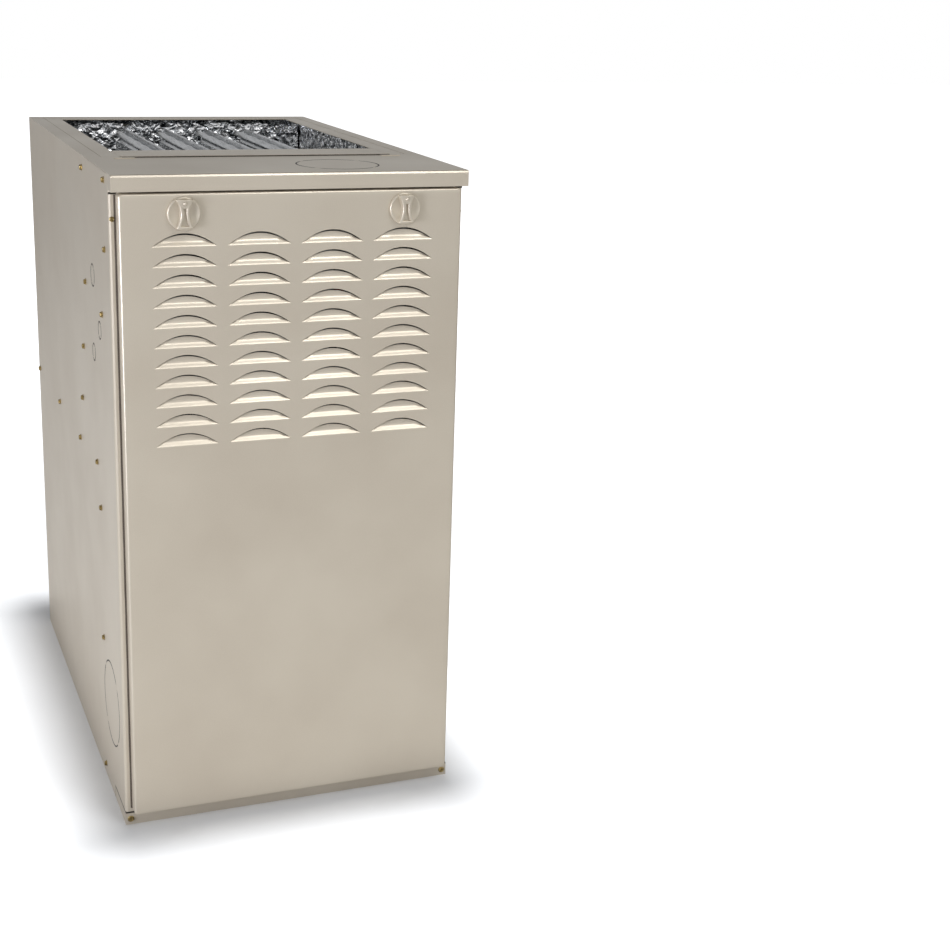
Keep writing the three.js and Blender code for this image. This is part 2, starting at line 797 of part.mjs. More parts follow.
// ---------- heat exchanger ----------
// A clamshell cell: a flat web with a pressed gas way that runs back and forth from the burner up to the outlet.
function exchangerCell(i) {
  const front = panelBack + panelSheet + fitGap;
  const line = [[front, cellLowestPass]];
  for (let pass = 0; pass < passes - 1; pass++) {
    const turn = pass % 2 === 0 ? cellBackTurn : cellFrontTurn;
    line.push([turn, cellLowestPass + pass * cellPassPitch], [turn, cellLowestPass + (pass + 1) * cellPassPitch]);
  }
  line.push([front, cellLowestPass + (passes - 1) * cellPassPitch]);
  const way = filleted(line, cellBendRadius, 2);
  const half = cellTubeHeight / 2 - cellBevel;
  const outline = shapeOf([...offsetLine(way, half), ...offsetLine(way, -half).reverse()]);
  const thickness = cellThickness - 2 * cellBevel;
  const gasWay = alongX(outline, -thickness / 2, thickness / 2, {
    bevelEnabled: true,
    bevelThickness: cellBevel,
    bevelSize: cellBevel,
    bevelSegments: 1,
  });
  const low = cellLowestPass - cellTubeHeight / 2;
  const high = cellLowestPass + (passes - 1) * cellPassPitch + cellTubeHeight / 2;
  const web = block(-cellWeb / 2, cellWeb / 2, front, cellBackTurn + cellTubeHeight / 2, low, high);
  const frontCut = block(-cellThickness, cellThickness, front - cellTubeHeight, front, low - through, high + through);
  return cut(joined(gasWay, web), frontCut).translate([cellX(i), 0, 0]);
}

// Drawn pan over the cells' outlets.
function collectorBox() {
  const outlet = cellLowestPass + cellPassPitch * (passes - 1);
  const [w, h] = [collectorWidth / 2, cellTubeHeight / 2];
  const pan = shapeOf([[-w, outlet - h], [w, outlet - h], [w, outlet + h], [-w, outlet + h]]);
  const low = inducerHeight - inducerRadius / 2;
  const throat = shapeOf([
    [inducerRight - inducerRadius / 2, low],
    [inducerRight + inducerRadius / 2, low],
    [inducerRight + inducerRadius, outlet],
    [inducerRight - inducerRadius, outlet],
  ]);
  const back = vestibuleBack;
  return joined(alongY(pan, back - collectorDepth, back), alongY(throat, back - collectorDepth, back));
}

// ---------- draught inducer ----------
const inducerBack = vestibuleBack - collectorDepth - fitGap;
const inducerFront = inducerBack - inducerDepth;

// Outline of a scroll with a straight outlet up its right side.
function scrollOutline(radius, growth, outletTop, steps) {
  const points = [];
  for (let i = 0; i <= steps; i++) {
    const angle = Math.PI * 0.5 + (Math.PI * 1.5 * i) / steps;
    const r = radius + (growth * i) / steps;
    points.push([Math.cos(angle) * r, Math.sin(angle) * r]);
  }
  const edge = radius + growth;
  points.push([edge, outletTop], [edge - elbowWidth, outletTop], [edge - elbowWidth, radius]);
  return points;
}

const scrollEdge = inducerRadius + inducerWall * 4;
const outletHeight = inducerRadius + 14;
const tapRight = inducerRight + scrollEdge + nippleLength;
const tapHeight = inducerHeight - 20;

function inducerHousing() {
  const outer = scrollOutline(inducerRadius, inducerWall * 4, outletHeight, 18);
  const inner = offsetLine([...outer, outer[0]], -inducerWall).slice(0, -1);
  const shell = alongY(shapeOf(outer), inducerFront, inducerBack);
  const innerTop = inner.map(([x, z]) => [x, z > outletHeight - inducerWall * 1.5 ? z + through * 2 : z]);
  const hollow = alongY(shapeOf(innerTop), inducerFront + inducerWall, inducerBack - inducerWall);
  const eye = rod("y", 0, 0, inducerBack - inducerWall - through, inducerBack + through, inducerWheelRadius * 0.5, 18);
  const shaftHole = rod("y", 0, 0, inducerFront - through, inducerFront + inducerWall + through, inducerShaftRadius * 2, 14);
  const tap = rod("x", tapBack, tapHeight - inducerHeight, inducerRadius - 2, tapRight - inducerRight, hoseBore, 10);
  return joined(cut(shell, hollow, eye, shaftHole), tap).translate([inducerRight, 0, inducerHeight]);
}

// Backplate, hub, blades and shaft in one.
function inducerWheel() {
  const front = inducerFront + inducerWall + (inducerDepth - 2 * inducerWall - inducerWheelWidth) / 2;
  const plate = rod("y", 0, 0, front, front + 1.5, inducerWheelRadius, 20);
  const hub = rod("y", 0, 0, front, front + inducerWheelWidth * 0.6, inducerShaftRadius * 2, 14);
  const shaft = rod("y", 0, 0, inducerFront - inducerMotorLength * 0.5, front + inducerWheelWidth * 0.5, inducerShaftRadius, 14);
  const blades = [];
  for (let i = 0; i < inducerBlades; i++) {
    const blade = block(inducerShaftRadius * 1.6, inducerWheelRadius - 1, front + 1, front + inducerWheelWidth, -0.6, 0.6);
    blades.push(blade.rotate([0, (360 * i) / inducerBlades, 0]));
  }
  return joined(plate, hub, shaft, blades).translate([inducerRight, 0, inducerHeight]);
}

function inducerMotor() {
  const back = inducerFront - fitGap;
  const front = back - inducerMotorLength;
  const r = inducerMotorRadius;
  const can = turned("y", 0, 0, [
    [0, front],
    [r * 0.35, front],
    [r * 0.35, front + 8],
    [r * 0.86, front + 10],
    [r, front + 20],
    [r, back - 16],
    [r * 0.9, back - 8],
    [r * 0.5, back - 8],
    [r * 0.5, back],
    [0, back],
  ], 16);
  const bore = rod("y", 0, 0, back - inducerMotorLength * 0.6, back + through, inducerShaftRadius + shaftClearance, 14);
  return cut(can, bore).translate([inducerRight, 0, inducerHeight]);
}

// Offset duct from the inducer's square outlet to the round knockout in the cover.
function ventElbow() {
  const [z0, z1] = [inducerHeight + outletHeight + fitGap, cabinetHeight - casingSheet - fitGap];
  const x0 = inducerRight + scrollEdge - elbowWidth;
  const square = (inset) => {
    const [a, b] = [x0 + inset, x0 + elbowWidth - inset];
    const [c, d] = [inducerFront + inset, inducerBack - inset];
    return [[b, (c + d) / 2], [b, d], [(a + b) / 2, d], [a, d], [a, (c + d) / 2], [a, c], [(a + b) / 2, c], [b, c]];
  };
  const round = (inset) => {
    const r = ventKnockoutRadius - 3 - inset;
    return Array.from({ length: 8 }, (_, i) => {
      const angle = (Math.PI * i) / 4;
      return [ventKnockoutRight + Math.cos(angle) * r, ventKnockoutBack + Math.sin(angle) * r];
    });
  };
  const loft = (inset, low, high) => {
    const rings = [square(inset).map(([x, y]) => [x, y, low]), round(inset).map(([x, y]) => [x, y, high])];
    const index = [];
    for (let j = 0; j < 8; j++) {
      const k = (j + 1) % 8;
      index.push(j, k, k + 8, j, k + 8, j + 8);
      if (j > 0 && j < 7) index.push(0, k, j, 8, 8 + j, 8 + k);
    }
    const geometry = new THREE.BufferGeometry();
    geometry.setAttribute("position", new THREE.Float32BufferAttribute(rings.flat(2), 3));
    geometry.setIndex(index);
    return solidOf(geometry);
  };
  return cut(loft(0, z0, z1), loft(elbowWall, z0 - 0.01, z1 + 0.01));
}

// ---------- burners and gas ----------
function burner(i) {
  const back = rackBack - fitGap;
  const front = back - burnerLength;
  return turned("y", cellX(i), burnerHeight, [
    [burnerRadius * 0.95, front],
    [burnerThroat, front + burnerLength * 0.25],
    [burnerThroat, front + burnerLength * 0.45],
    [burnerRadius * 0.9, front + burnerLength * 0.8],
    [burnerRadius * 0.9, back],
    [burnerRadius * 0.9 - 2, back],
    [burnerRadius * 0.9 - 2, front + burnerLength * 0.8],
    [burnerThroat - 2, front + burnerLength * 0.45],
    [burnerThroat - 2, front + burnerLength * 0.25],
    [burnerRadius * 0.95 - 2, front],
    [burnerRadius * 0.95, front],
  ], 10);
}

// Angle that holds the burners in line with the cells.
function burnerRack() {
  const half = cellX(cellCount - 1) + cellPitch * 0.55;
  const low = burnerHeight - rackHeight / 2;
  const plate = block(-half, half, rackBack, rackBack + rackThickness, low, low + rackHeight);
  const foot = block(-half, half, rackBack, vestibuleBack, low, low + rackThickness);
  const roof = block(-half, half, rackBack, vestibuleBack, low + rackHeight - rackThickness, low + rackHeight);
  const bores = Array.from({ length: cellCount }, (_, i) =>
    rod("y", cellX(i), burnerHeight, rackBack - through, rackBack + rackThickness + through, burnerRadius * 0.8, 12),
  );
  const probeHoles = [cellX(0), cellX(cellCount - 1)].map((x) =>
    rod("y", x, burnerHeight + probeRise, rackBack - through, rackBack + rackThickness + through, probeHole, 8),
  );
  return cut(joined(plate, foot, roof), bores, probeHoles);
}

const valveLeft = -wallInside + valveInset;
const valveCentre = valveLeft + valveWidth / 2;
const valveBottom = burnerHeight + valveRise;
const valveFront = manifoldBack - valveDepth / 2;
const valveTop = valveBottom + valveHeight;
const burnerFront = rackBack - fitGap - burnerLength;

// Pipe across the burners with one orifice for each, bent up to the valve.
function gasManifold() {
  const end = cellX(cellCount - 1) + manifoldOverhang;
  const line = [[end, burnerHeight], [valveCentre, burnerHeight], [valveCentre, valveBottom - fitGap]];
  const bend = filleted(line, manifoldBend, 4).slice(1, -1);
  const [first, last] = [bend[0], bend[bend.length - 1]];
  const elbow = tubeAlong(
    [[first[0] + 1, first[1]], ...bend, [last[0], last[1] + 1]].map(([x, z]) => [x, manifoldBack, z]),
    manifoldRadius, 8, 12,
  );
  const run = rod("x", manifoldBack, burnerHeight, first[0], end - 1, manifoldRadius, 12);
  const rise = rod("z", valveCentre, manifoldBack, last[1], valveBottom - fitGap, manifoldRadius, 12);
  const pipe = joined(elbow, run, rise);
  const cap = rod("x", manifoldBack, burnerHeight, end - manifoldRadius, end + 4, manifoldRadius + 2, 12);
  const orifices = Array.from({ length: cellCount }, (_, i) =>
    rod("y", cellX(i), burnerHeight, manifoldBack, burnerFront + orificeReach, orificeRadius, 6),
  );
  return joined(pipe, cap, orifices);
}

function gasValve() {
  const [x0, x1] = [valveLeft, valveLeft + valveWidth];
  const body = block(x0, x1, valveFront, valveFront + valveDepth, valveBottom, valveTop);
  const tower = rod("z", valveCentre + 14, manifoldBack, valveTop - 1, valveTop + 16, 13, 18);
  const inlet = rod("z", valveCentre - 15, manifoldBack, valveTop - 1, valveTop + 12, inletHexRadius, 6);
  const socket = rod("z", valveCentre - 15, manifoldBack, valveTop - 8, valveTop + 12 + through, inletHexRadius * 0.7, 12);
  const well = block(
    valveCentre - switchTravel - 6, valveCentre + switchTravel + 6,
    valveFront - through, valveFront + switchWell,
    valveTop - 32, valveTop - 16,
  );
  return cut(joined(body, tower, inlet), socket, well);
}

// Slide switch in the valve's well.
function gasValveSwitch() {
  const z = valveTop - 24;
  const foot = block(
    valveCentre - 8, valveCentre + 2,
    valveFront + switchWell - 3, valveFront + switchWell - fitGap,
    z - 6, z + 6,
  );
  const grip = block(valveCentre - 6, valveCentre, valveFront - 4, valveFront + switchWell - 2, z - 5, z + 5);
  return joined(foot, grip);
}

// Ceramic holder with a rod that reaches through the rack into the flame.
function probe(x, holderRadius, rodRadius) {
  const z = burnerHeight + probeRise;
  const holder = rod("y", x, z, rackBack - fitGap - probeHolder, rackBack - fitGap, holderRadius, 12);
  const tip = rod("y", x, z, rackBack - 1, vestibuleBack - probeTipGap, rodRadius, 8);
  return joined(holder, tip);
}

const rolloutX = (side) => side * cellPitch;

// Round limit with a manual reset in its middle.
function rolloutSwitch(side) {
  const back = rackBack - fitGap;
  const can = turned("y", rolloutX(side), burnerHeight, [
    [0, back - rolloutDepth],
    [rolloutRadius * 0.5, back - rolloutDepth],
    [rolloutRadius * 0.5, back - rolloutDepth + 3],
    [rolloutRadius, back - rolloutDepth + 4],
    [rolloutRadius, back],
    [0, back],
  ], 18);
  const bore = rod(
    "y", rolloutX(side), burnerHeight,
    back - rolloutDepth - through, back - rolloutDepth + resetLength, resetRadius + fitGap, 12,
  );
  return cut(can, bore);
}

function rolloutReset(side) {
  const front = rackBack - fitGap - rolloutDepth - resetProud;
  return rod("y", rolloutX(side), burnerHeight, front, front + resetLength, resetRadius, 12);
}

// Disc thermostat on a rectangular flange.
function limitSwitch() {
  const [x, z] = [limitRight, limitHeight];
  const flange = block(x - 22, x + 22, vestibuleBack - 1.5, vestibuleBack, z - 13, z + 13);
  const disc = rod("y", x, z, vestibuleBack - 16, vestibuleBack - 1, 11, 16);
  const blades = [-1, 1].map((side) =>
    block(x + side * 5 - 3, x + side * 5 + 3, vestibuleBack - 24, vestibuleBack - 15, z - 0.5, z + 0.5),
  );
  return joined(flange, disc, blades);
}

// Two dished halves clamped at a rim, with a nipple below and terminals in front.
const pressureFront = vestibuleBack - 34;
function pressureSwitch() {
  const back = vestibuleBack;
  const r = pressureRadius;
  const body = turned("y", pressureRight, pressureHeight, [
    [0, pressureFront],
    [r * 0.45, pressureFront],
    [r * 0.8, pressureFront + 8],
    [r, pressureFront + 14],
    [r, pressureFront + 19],
    [r * 0.8, pressureFront + 25],
    [r * 0.4, back],
    [0, back],
  ], 16);
  const nipple = rod(
    "z", pressureRight, pressureFront + 16.5,
    pressureHeight - r - nippleLength, pressureHeight - r + 3, hoseBore, 10,
  );
  return joined(body, nipple);
}

// Silicone hose from the inducer's tap to the switch.
function pressureHose() {
  const y = pressureFront + 16.5;
  const end = pressureHeight - pressureRadius - nippleLength - fitGap;
  const start = [tapRight + fitGap, tapBack, tapHeight];
  return tubeAlong(
    [
      start,
      [start[0] + hoseRadius * 3, tapBack, tapHeight],
      [start[0] + hoseRadius * 6, (tapBack + y) / 2, tapHeight - hoseSag * 0.8],
      [(start[0] + pressureRight) / 2 + 6, (tapBack + y) / 2, end - hoseSag],
      [pressureRight, y, end - hoseRadius * 4],
      [pressureRight, y, end],
    ],
    hoseRadius, 18, 8,
  );
}

// ---------- blower ----------
// Outline in (y, z) of the scroll, which blows up through the shelf.
function blowerOutline(inset) {
  const points = [];
  const steps = 20;
  for (let i = 1; i <= steps; i++) {
    const angle = (Math.PI * 1.5 * i) / steps;
    const r = scrollStart + ((scrollEnd - scrollStart) * i) / steps - inset;
    points.push([blowerBack - Math.sin(angle) * r, blowerHeight + Math.cos(angle) * r]);
  }
  const top = shelfUnder + (inset > 0 ? through : 0);
  const front = dischargeBack - dischargeDepth + inset;
  points.push([dischargeBack - inset, top], [front, top], [front, blowerHeight + scrollStart - inset]);
  return shapeOf(points);
}

// Sheet bent round the scroll, open at the top. Its sides are pieces of their own.
function blowerHousing() {
  const half = scrollHalf - scrollSheet - fitGap;
  const shell = alongX(blowerOutline(0), -half, half);
  return cut(shell, alongX(blowerOutline(scrollSheet), -half - through, half + through));
}

// Flat side of the scroll with the round inlet in it.
function blowerSide(side) {
  const [inner, outer] = [scrollHalf - scrollSheet, scrollHalf];
  const [from, to] = side < 0 ? [-outer, -inner] : [inner, outer];
  const inlet = rod("x", blowerBack, blowerHeight, from - through, to + through, inletRadius, 28);
  return cut(alongX(blowerOutline(0), from, to), inlet);
}

function blowerWheel() {
  const half = wheelWidth / 2;
  const ring = (x) => {
    const band = ringShape(wheelRadius, wheelInnerRadius);
    return alongX(band, x, x + wheelRing, { curveSegments: 12 });
  };
  const disc = rod("x", 0, 0, -wheelDisc / 2, wheelDisc / 2, wheelInnerRadius + 2, 24);
  const hub = rod("x", 0, 0, -wheelHubLength / 2, wheelHubFront, wheelHubRadius, 16);
  const shaft = rod("x", 0, 0, -wheelHubLength / 2 - 6, motorStart + motorLength * 0.8, blowerShaftRadius, 16);
  const blade = block(-half + 1, half - 1, wheelInnerRadius + 1, wheelRadius - 1, -bladeThickness / 2, bladeThickness / 2);
  const blades = Array.from({ length: bladeCount }, (_, i) => blade.rotate([(360 * (i + 0.5)) / bladeCount, 0, 0]));
  const holes = Array.from({ length: 3 }, (_, i) => {
    const angle = (Math.PI * 2 * i) / 3;
    const r = (wheelInnerRadius + wheelHubRadius) / 2;
    return rod("x", Math.cos(angle) * r, Math.sin(angle) * r, -through, through, wheelHubRadius, 12);
  });
  const body = joined(cut(disc, holes), ring(-half), ring(half - wheelRing), hub, shaft, blades);
  return body.translate([0, blowerBack, blowerHeight]);
}

const motorStart = wheelHubFront + motorGap;
const motorEnd = motorStart + motorLength;

function blowerMotor() {
  const r = motorRadius;
  const can = turned("x", blowerBack, blowerHeight, [
    [0, motorStart],
    [r * 0.3, motorStart],
    [r * 0.35, motorStart + 5],
    [r * 0.9, motorStart + 10],
    [r, motorStart + 18],
    [r, motorEnd - 8],
    [r * 0.92, motorEnd],
    [0, motorEnd],
  ], 20);
  const bore = rod(
    "x", blowerBack, blowerHeight,
    motorStart - through, motorStart + motorLength * 0.8 + fitGap, blowerShaftRadius + shaftClearance, 16,
  );
  return cut(can, bore);
}

// Band round the motor with three arms out to the housing's side.
function motorMount() {
  const start = scrollHalf + fitGap;
  const band = alongX(ringShape(motorRadius + fitGap + bandThickness, motorRadius + fitGap), start, motorEnd - 10);
  const arms = Array.from({ length: 3 }, (_, i) => {
    const from = motorRadius + fitGap + bandThickness / 2;
    const arm = block(start, start + armThickness, from, armReach, -armWidth / 2, armWidth / 2);
    return arm.rotate([90 + 120 * i, 0, 0]);
  });
  return joined(band, arms).translate([0, blowerBack, blowerHeight]);
}

// Run capacitor, flat on the housing's left side.
function capacitor() {
  const x = -scrollHalf - fitGap - capacitorRadius;
  const [y, z] = [blowerBack + scrollStart - capacitorLength / 2, blowerHeight + inletRadius + capacitorRadius + 12];
  const can = rod("y", x, z, y, y + capacitorLength, capacitorRadius, 20);
  const foot = block(x, -scrollHalf - fitGap, y + 10, y + capacitorLength - 10, z - capacitorRadius, z - capacitorRadius + 4);
  const terminals = [-1, 1].map((side) => block(x + side * 6 - 3, x + side * 6 + 3, y - 8, y + 1, z - 0.5, z + 0.5));
  return joined(can, foot, terminals);
}

// ---------- controls ----------
const controlFront = controlBack - controlDepth;
const controlTop = shelfUnder - 1;

// Open tray hung under the shelf. Its front is open.
function controlTray() {
  const [x0, x1] = [controlLeft, controlLeft + controlWidth];
  const shell = block(x0, x1, controlFront, controlBack, controlTop - controlHeight, controlTop);
  const t = controlSheet;
  const hollow = block(
    x0 + t, x1 - t, controlFront - through, controlBack - t, controlTop - controlHeight + t, controlTop - t,
  );
  const hanger = block(x0, x1, controlBack - t, controlBack + hangerLength, shelfUnder - t, shelfUnder);
  const upright = block(x0, x1, controlBack - t, controlBack, controlTop - t, shelfUnder);
  return joined(cut(shell, hollow), hanger, upright);
}

// Circuit board with relays, a fuse, a connector and a terminal strip, on short stand-offs.
function controlBoard() {
  const [x0, z1] = [controlLeft + boardInset, controlTop - boardInset];
  const [x1, z0] = [x0 + boardWidth, z1 - boardHeight];
  const back = controlBack - controlSheet - fitGap;
  const face = back - standoff;
  const board = block(x0, x1, face, face + boardThickness, z0, z1);
  const legs = [[x0 + 6, z0 + 6], [x1 - 6, z0 + 6], [x0 + 6, z1 - 6], [x1 - 6, z1 - 6]].map(([x, z]) =>
    rod("y", x, z, face + boardThickness / 2, back, 3, 8),
  );
  const part = (x, z, w, h, depth) => block(x0 + x, x0 + x + w, face - depth, face + 0.5, z0 + z, z0 + z + h);
  const relays = [part(12, 70, 24, 20, 18), part(42, 70, 24, 20, 18), part(76, 72, 18, 16, 15)];
  const terminals = [part(14, 8, 62, 10, 12), part(88, 8, 30, 14, 14), part(104, 40, 12, 44, 10)];
  const small = [part(16, 34, 20, 12, 3), part(46, 36, 14, 14, 3), part(70, 38, 18, 6, 6)];
  return joined(board, legs, relays, terminals, small);
}

// Laminated core with a wound bobbin through it.
function transformer() {
  const x0 = controlLeft + controlWidth + 12;
  const [w, d, h] = [62, 42, 52];
  const y0 = controlFront;
  const top = shelfUnder;
  const core = block(x0, x0 + w, y0 + 10, y0 + d - 10, top - h, top - 4);
  const coil = block(x0 + 12, x0 + w - 12, y0, y0 + d, top - h + 10, top - 16);
  const bracket = block(x0 - 10, x0 + w + 10, y0 + 10, y0 + d - 10, top - 4 - 1, top);
  return joined(core, coil, bracket);
}

// Interlock behind the blower panel: its button is held in while the panel is on.
function doorSwitchBody() {
  const [x, z] = [switchRight, switchHeight];
  const [y0, y1] = [switchFaceBack, switchFaceBack + switchBodyDepth];
  const body = block(x - 14, x + 14, y0, y1, z - 20, z + 20);
  const plate = block(x - 14, x + 14, casingSheet + fitGap, y0 + 1, z + 18, z + 20);
  const tab = block(x - 14, x + 14, casingSheet + fitGap, casingSheet + fitGap + 1.5, z + 18, shelfUnder);
  const bore = block(
    x - 4 - fitGap, x + 4 + fitGap,
    y0 - through, y0 + switchBore,
    z - 7 - fitGap, z + 7 + fitGap,
  );
  return cut(joined(body, plate, tab), bore);
}

function doorSwitchButton() {
  const [x, z] = [switchRight, switchHeight];
  return block(x - 4, x + 4, 0, switchFaceBack + switchBore - switchPress - fitGap, z - 7, z + 7);
}

// Steel box for the mains wires with a lid held by a lip, on the left wall.
function junctionBox() {
  const x0 = -wallInside + fitGap;
  const [y0, z0] = [junctionFront, junctionBottom];
  const shell = block(x0, x0 + junctionWidth, y0, y0 + junctionDepth, z0, z0 + junctionHeight);
  const t = controlSheet;
  const hollow = block(
    x0 + t, x0 + junctionWidth + through,
    y0 + t, y0 + junctionDepth - t,
    z0 + t, z0 + junctionHeight - t,
  );
  return cut(shell, hollow);
}

function junctionLid() {
  const x0 = -wallInside + fitGap + junctionWidth + fitGap;
  const [y0, z0] = [junctionFront, junctionBottom];
  const lid = block(x0, x0 + controlSheet, y0 - 2, y0 + junctionDepth + 2, z0 - 2, z0 + junctionHeight + 2);
  const tabs = [y0 - 2, y0 + junctionDepth + 2 - controlSheet].map((y) =>
    block(x0 - 10, x0 + controlSheet, y - (y < y0 ? fitGap : -fitGap), y + controlSheet - (y < y0 ? fitGap : -fitGap), z0 + 10, z0 + junctionHeight - 10),
  );
  return joined(lid, tabs);
}

// ---------- filter ----------
// Pleated medium in a card frame.
function filter() {
  const half = filterWidth / 2;
  const [y0, y1] = [filterFront, filterFront + filterLength];
  const [z0, z1] = [filterLevel, filterLevel + filterThickness];
  const frame = cut(
    block(-half, half, y0, y1, z0, z1),
    block(-half + filterFrame, half - filterFrame, y0 + filterFrame, y1 - filterFrame, z0 - through, z1 + through),
  );
  const [a, b] = [y0 + filterFrame - 1, y1 - filterFrame + 1];
  const pitch = (b - a) / filterPleats;
  const [low, high] = [z0 + 4, z1 - 2];
  const line = [];
  for (let i = 0; i <= filterPleats * 2; i++) line.push([a + (i * pitch) / 2, i % 2 === 0 ? low : high]);
  const section = shapeOf([...line, ...line.map(([y, z]) => [y, z - 2]).reverse()]);
  return joined(frame, alongX(section, -half + filterFrame - 1, half - filterFrame + 1));
}

// Angle on the side wall that the filter slides on.
function filterTrack(side) {
  const outer = wallInside - fitGap;
  const inner = filterWidth / 2 - filterRail;
  const top = filterLevel - fitGap;
  const at = (x0, x1, z0, z1) => {
    const [a, b] = side < 0 ? [-x1, -x0] : [x0, x1];
    return block(a, b, filterFront - 6, filterFront + filterLength, z0, z1);
  };
  const shelf = at(inner, outer, top - filterRailThickness, top);
  const wall = at(outer - filterRailThickness, outer, top - filterRailThickness, top + filterThickness + 14);
  return joined(shelf, wall);
}

// ---------- materials ----------
const paint = (color, roughness, metalness = 0) => new THREE.MeshStandardMaterial({ color, roughness, metalness });
const enamel = paint(0xc4bcac, 0.45, 0.25);
const galvanised = paint(0xa8abad, 0.45, 0.9);
const foil = paint(0xd8dadc, 0.25, 1);
const aluminised = paint(0x8f9296, 0.4, 0.9);
const castZinc = paint(0x8c8f92, 0.5, 0.8);
const brassPlate = paint(0xc9a94a, 0.3, 1);
const darkPaint = paint(0x2b2c2e, 0.6, 0.2);
const ceramic = paint(0xe8e4da, 0.6);
const redPlastic = paint(0xa33a2c, 0.5);
const circuitGreen = paint(0x2f6b45, 0.5);
const card = paint(0xd9d6cc, 0.9);

// ---------- assembly ----------
const furnace = new THREE.Group();
const assembly = new THREE.Group();
furnace.add(assembly);

function add(name, solid, material) {
  const made = solid.getMesh();
  const geometry = new THREE.BufferGeometry();
  const vertices = new Float32Array(made.numVert * 3);
  for (let i = 0; i < made.numVert; i++)
    vertices.set(made.vertProperties.subarray(i * made.numProp, i * made.numProp + 3), i * 3);
  geometry.setAttribute("position", new THREE.BufferAttribute(vertices, 3));
  geometry.setIndex(new THREE.BufferAttribute(new Uint32Array(made.triVerts), 1));
  geometry.computeVertexNormals();
  const mesh = new THREE.Mesh(geometry, material);
  mesh.name = name;
  assembly.add(mesh);
}

add("casing_wrap", casingWrap(), enamel);
add("top_cover", topCover(), enamel);
add("base_rail", baseRail(), enamel);
add("base_screw_left", railScrew(-1), brassPlate);
add("base_screw_right", railScrew(1), brassPlate);
add("louvred_door", door(), enamel);
add("latch_knob_left", latchKnob(-1), enamel);
add("latch_knob_right", latchKnob(1), enamel);
add("latch_tongue_left", latchTongue(-1), galvanised);
add("latch_tongue_right", latchTongue(1), galvanised);
add("blower_shelf", blowerShelf(), galvanised);
add("cell_panel", cellPanel(), galvanised);
add("duct_strip", ductStrip(), enamel);
add("insulation_left", insulationSide(-1), foil);
add("insulation_right", insulationSide(1), foil);
add("insulation_back", insulationBack(), foil);
for (let i = 0; i < cellCount; i++) add(`heat_exchanger_cell_${i + 1}`, exchangerCell(i), aluminised);
add("collector_box", collectorBox(), aluminised);
add("inducer_housing", inducerHousing(), galvanised);
add("inducer_wheel", inducerWheel(), aluminised);
add("inducer_motor", inducerMotor(), darkPaint);
add("vent_elbow", ventElbow(), galvanised);
for (let i = 0; i < cellCount; i++) add(`burner_${i + 1}`, burner(i), aluminised);
add("burner_rack", burnerRack(), galvanised);
add("gas_manifold", gasManifold(), darkPaint);
add("gas_valve", gasValve(), castZinc);
add("gas_valve_switch", gasValveSwitch(), darkPaint);
add("igniter", probe(cellX(cellCount - 1), 6, 3), ceramic);
add("flame_sensor", probe(cellX(0), 5, 1.5), ceramic);
add("rollout_switch_left", rolloutSwitch(-1), darkPaint);
add("rollout_switch_right", rolloutSwitch(1), darkPaint);
add("rollout_reset_left", rolloutReset(-1), redPlastic);
add("rollout_reset_right", rolloutReset(1), redPlastic);
add("limit_switch", limitSwitch(), darkPaint);
add("pressure_switch", pressureSwitch(), galvanised);
add("pressure_hose", pressureHose(), redPlastic);
add("access_panel", accessPanel(), galvanised);
add("blower_housing", blowerHousing(), galvanised);
add("blower_side_left", blowerSide(-1), galvanised);
add("blower_side_right", blowerSide(1), galvanised);
add("blower_wheel", blowerWheel(), galvanised);
add("blower_motor", blowerMotor(), darkPaint);
add("motor_mount", motorMount(), galvanised);
add("capacitor", capacitor(), aluminised);
add("control_tray", controlTray(), galvanised);
add("control_board", controlBoard(), circuitGreen);
add("transformer", transformer(), darkPaint);
add("door_switch_body", doorSwitchBody(), darkPaint);
add("door_switch_button", doorSwitchButton(), ceramic);
add("junction_box", junctionBox(), galvanised);
add("junction_lid", junctionLid(), galvanised);
add("filter", filter(), card);
add("filter_track_left", filterTrack(-1), galvanised);
add("filter_track_right", filterTrack(1), galvanised);

// The origin goes under the middle of the furnace, knobs included.
assembly.position.y = -(cabinetDepth - doorProud - knobProud) / 2;

export default furnace;
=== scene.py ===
import json
import math
import random
import bpy
import bmesh
from mathutils import Matrix, Vector, noise


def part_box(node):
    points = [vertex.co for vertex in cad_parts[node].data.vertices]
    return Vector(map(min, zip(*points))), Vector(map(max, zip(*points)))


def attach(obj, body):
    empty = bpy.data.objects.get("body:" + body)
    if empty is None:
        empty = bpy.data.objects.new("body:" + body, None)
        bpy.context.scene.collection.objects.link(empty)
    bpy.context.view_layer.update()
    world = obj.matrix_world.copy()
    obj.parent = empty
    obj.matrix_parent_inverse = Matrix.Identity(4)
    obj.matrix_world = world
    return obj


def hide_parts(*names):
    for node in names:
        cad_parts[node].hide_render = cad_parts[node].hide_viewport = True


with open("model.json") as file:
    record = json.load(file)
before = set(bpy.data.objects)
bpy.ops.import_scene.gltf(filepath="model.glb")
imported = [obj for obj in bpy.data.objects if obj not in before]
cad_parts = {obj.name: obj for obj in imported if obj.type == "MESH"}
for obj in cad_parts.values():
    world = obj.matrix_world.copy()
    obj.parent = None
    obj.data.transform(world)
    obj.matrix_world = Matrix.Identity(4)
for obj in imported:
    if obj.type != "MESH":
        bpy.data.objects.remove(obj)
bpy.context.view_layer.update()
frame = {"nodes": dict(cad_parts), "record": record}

nodes = frame["nodes"]
print("frame loaded:", len(nodes), "CAD nodes")


# small helpers

# millimetres of the furnace's own frame to Blender's metres
def mm(x, y, z):
    return Vector((x, y, z)) / 1000


